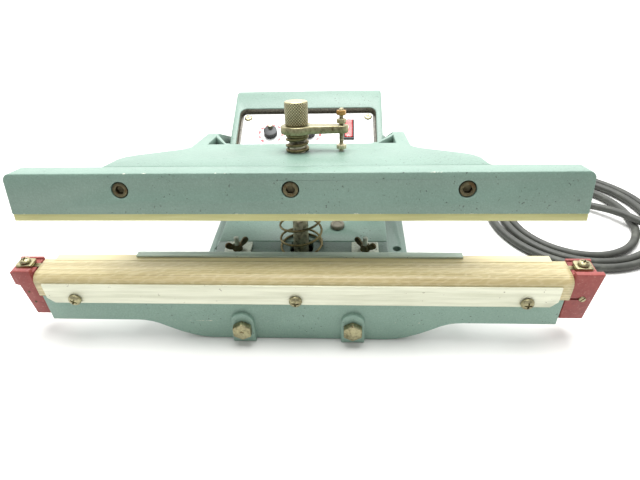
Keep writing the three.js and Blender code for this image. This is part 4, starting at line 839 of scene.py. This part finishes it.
def timer_knob(name, node, dial):
    """A fluted grip with a sunk cap on a tapering skirt, built upright and set on the panel."""
    clear_selection()
    bpy.ops.mesh.primitive_cylinder_add(vertices=72, radius=GRIP_R, depth=GRIP_H,
                                        location=(0, 0, GRIP_MIDDLE))
    knob = bpy.context.object
    knob.name = name
    bpy.ops.object.mode_set(mode="EDIT")
    bpy.ops.mesh.select_mode(type="FACE")
    bpy.ops.mesh.select_all(action="DESELECT")
    form = bmesh.from_edit_mesh(knob.data)
    for face in form.faces:
        middle = face.calc_center_median()
        angle = math.degrees(math.atan2(middle.x, middle.y)) % FLUTE_EVERY
        face.select = abs(face.normal.z) < 0.1 and angle < FLUTE_WIDE
    bmesh.update_edit_mesh(knob.data)
    bpy.ops.mesh.inset(thickness=0.0003)
    bpy.ops.transform.resize(value=(0.93, 0.93, 1))
    bpy.ops.mesh.select_all(action="DESELECT")
    form = bmesh.from_edit_mesh(knob.data)
    for face in form.faces:
        face.select = face.normal.z > 0.9 and face.calc_center_median().z > GRIP_MIDDLE
    bmesh.update_edit_mesh(knob.data)
    bpy.ops.mesh.inset(thickness=0.0011)
    bpy.ops.transform.translate(value=(0, 0, -0.0004))
    bpy.ops.mesh.inset(thickness=0.0005)
    bpy.ops.object.mode_set(mode="OBJECT")
    clear_selection()
    bpy.ops.mesh.primitive_cone_add(vertices=64, radius1=0.0087, radius2=0.0080, depth=0.0032,
                                    location=(0, 0, 0.0027))
    knob.select_set(True)
    bpy.context.view_layer.objects.active = knob
    bpy.ops.object.join()
    knob.data.materials.append(knob_black.material)
    bevel_edges(knob, 0.00022, 2)
    apply_turn(knob, PANEL_TILT, on_panel(dial, 0, 0))
    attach(knob, bodies_of[node])
    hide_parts(node)


timer_knob("seal_time_dial", "seal_timer_knob", DIAL_U[0])
timer_knob("cool_time_dial", "cool_timer_knob", DIAL_U[1])


# ---- Power switch ---------------------------------------------------------------------
# A snap-in rocker: a dark bezel round a clear red rocker with a moulded line and circle.

lens = Finish("red_rocker", srgb(214, 30, 30), 0.22, Specular_IOR_Level=0.55, Subsurface_Weight=0.2,
              Subsurface_Radius=(0.003, 0.0006, 0.0005))
u, v, _, flat = local_millimetres(lens, panel_origin, PANEL_TILT)
haze = lens.grain(0.35, 4, 0.6, flat)
glow = lens.ramp(haze, (0.3, srgb(196, 24, 26)), (0.7, srgb(232, 54, 50)))
SWITCH_U, MARK_V, CIRCLE_R = 48, 6.5, 1.6
line_mark = (abs(u - SWITCH_U) < 0.35) * (abs(v - MARK_V) < 1.8)
circle = ((u - SWITCH_U) * (u - SWITCH_U) + (v + MARK_V) * (v + MARK_V)) ** 0.5
marks = lens.maths("MAXIMUM", line_mark, abs(circle - CIRCLE_R) < 0.3)
lens.set("Base Color", lens.blend(marks * 0.5, glow, srgb(244, 226, 220)))
lens.set("Roughness", 0.16 + 0.2 * haze)
lens.set("Normal", lens.relief(haze, 0.0002, 0.2))
refine("power_rocker", 0.0006, lens)


# ---- Springs --------------------------------------------------------------------------
# The pressure spring is heavy plated wire in four turns under the lever; the return spring
# is light wire between the deck and the arm. Their end turns lie flat.

def coil(name, node, radius, turns, low, high, wire, finish):
    """A compression spring; each end is its y, z and lean in millimetres and radians."""
    wound = bpy.data.curves.new(name, "CURVE")
    wound.dimensions = "3D"
    wound.bevel_depth = wire / 2000
    wound.bevel_resolution = 3
    wound.use_fill_caps = True
    path = wound.splines.new("POLY")
    steps = int(turns * 40)
    path.points.add(steps)
    flat_end = 0.75 / turns
    for i, knot in enumerate(path.points):
        t = i / steps
        e = max(0, min(1, (t - flat_end * 0.4) / (1 - flat_end * 0.8)))
        rise = 0.35 * e * e * (3 - 2 * e) + 0.65 * max(0, min(1, (t - flat_end) / (1 - 2 * flat_end)))
        y, z, lean = (a + (b - a) * rise for a, b in zip(low, high))
        turn_angle = 2 * math.pi * turns * t
        across, deep = radius * math.cos(turn_angle), radius * math.sin(turn_angle)
        knot.co = (*at(across, y + deep * math.cos(lean), z - deep * math.sin(lean)), 1)
    piece = bpy.data.objects.new(name, wound)
    bpy.context.scene.collection.objects.link(piece)
    select_only(piece)
    bpy.ops.object.convert(target="MESH")
    bpy.ops.object.shade_smooth_by_angle(angle=math.radians(60))
    piece.data.materials.append(finish.material)
    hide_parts(node)
    return piece


ROD_Y = 79.5                                    # middle of the pull rod, with the jaws closed
PRESSURE_LOW, PRESSURE_HIGH = 119.95, 133.45
pressure = coil("pressure_coil", "pressure_spring", 9.45, 4, (ROD_Y, PRESSURE_LOW, 0),
                (ROD_Y, PRESSURE_HIGH, 0), 2.9, spring_wire)
pressure.data.transform(lift)
lift @ at(0, ROD_Y, PRESSURE_LOW)
lift @ at(0, ROD_Y, PRESSURE_HIGH)
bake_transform(pressure)
web = lift @ at(0, ROD_Y, 106.6)
web_y, web_z = (web.y - JAW_FACE) * 1000, web.z * 1000
seated = coil("return_coil", "return_spring", 20.75, 7.5, (75, 56.95, 0), (web_y, web_z, OPEN_ANGLE), 2.3,
              spring_wire)
at(0, 75, 57)
at(0, web_y, web_z)
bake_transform(seated)


# ---- Knurled nut and trigger screw ----------------------------------------------------
# The pressure nut is turned from bar and diamond-knurled; the rod's neck and the trigger
# screw carry rolled threads, all plated together. The lever ties the screw to the rod.

refine("trigger_lever", 0.0007, nickel)
refine("trigger_nut_1", 0.0004, nickel)
refine("trigger_nut_2", 0.0004, bronze)
refine("switch_plunger", 0.0003, zinc)
ROD_TILT = -OPEN_ANGLE
NUT_GIRTH, NUT_SIDE_R = 67.5, 10.4
RIDGES = 26
rod_origin = lift @ at(0, ROD_Y, ARM_TOP)
knurl = Finish("knurled_nickel", srgb(206, 199, 166), 0.36, 1.0)
u, v, w, flat = local_millimetres(knurl, rod_origin, ROD_TILT)
along = knurl.maths("ARCTAN2", u, v) * (NUT_GIRTH / (2 * math.pi))
pitch = math.pi / (NUT_GIRTH / RIDGES)
ridges = [abs(knurl.maths("SINE", slant * pitch)) for slant in (along + w, along - w)]
diamond = knurl.maths("MINIMUM", *ridges)
side = (u * u + v * v) ** 0.5 > NUT_SIDE_R
dirt = knurl.grain(0.3, 4, 0.6, flat)
# the knurl's grooves are painted dark, as painted shade, more so where the dirt noise is high
groove_shade = (1.1 - diamond * 1.5) * side * (0.7 + 0.6 * dirt)
shaded_knurl_tone = knurl.blend(groove_shade, srgb(190, 183, 148), srgb(50, 44, 28))
knurl.set("Base Color", knurl.blend((dirt > 0.62) * 0.4, shaded_knurl_tone, srgb(126, 112, 80)))
knurl.set("Roughness", 0.28 + 0.3 * dirt)
knurl.set("Normal", knurl.relief(diamond * side, 0.0006, 0.9))
refine("knurled_nut", 0.0005, knurl)


def threaded(name, pale, dark, pitch_mm, low, high, near=None, reach=99):
    """A plated finish whose threads run between two heights along the rod's own axis."""
    metal = Finish(name, pale, 0.34, 1.0)
    u, _, w, flat = local_millimetres(metal, rod_origin, ROD_TILT)
    groove = (w + u * 0.1) * (2 * math.pi / pitch_mm)
    groove = metal.maths("SINE", groove) * 0.5 + 0.5
    zone = (w > low) * (w < high)
    if near is not None:
        zone = zone * (abs(u - near) < reach)
    dull = metal.grain(0.25, 4, 0.6, flat)
    tone = metal.ramp(dull, (0.3, dark), (0.55, pale), (0.8, tuple(min(1, c * 1.15) for c in pale)))
    # the thread troughs are painted dark brown, as painted shade
    metal.set("Base Color", metal.blend((1 - groove) * zone * 0.7, tone, srgb(62, 54, 36)))
    metal.set("Roughness", 0.26 + 0.3 * dull)
    metal.set("Normal", metal.relief(groove * zone, 0.0005, 0.8))
    return metal


rod_metal = threaded("rod_steel", srgb(196, 191, 168), srgb(120, 114, 92), 1.5, 8, 60)
refine("pull_rod", 0.0005, rod_metal)
screw_metal = threaded("trigger_screw_steel", srgb(208, 200, 168), srgb(136, 126, 96), 0.9, 7, 41, 41, 2.6)
refine("trigger_screw", 0.0004, screw_metal)
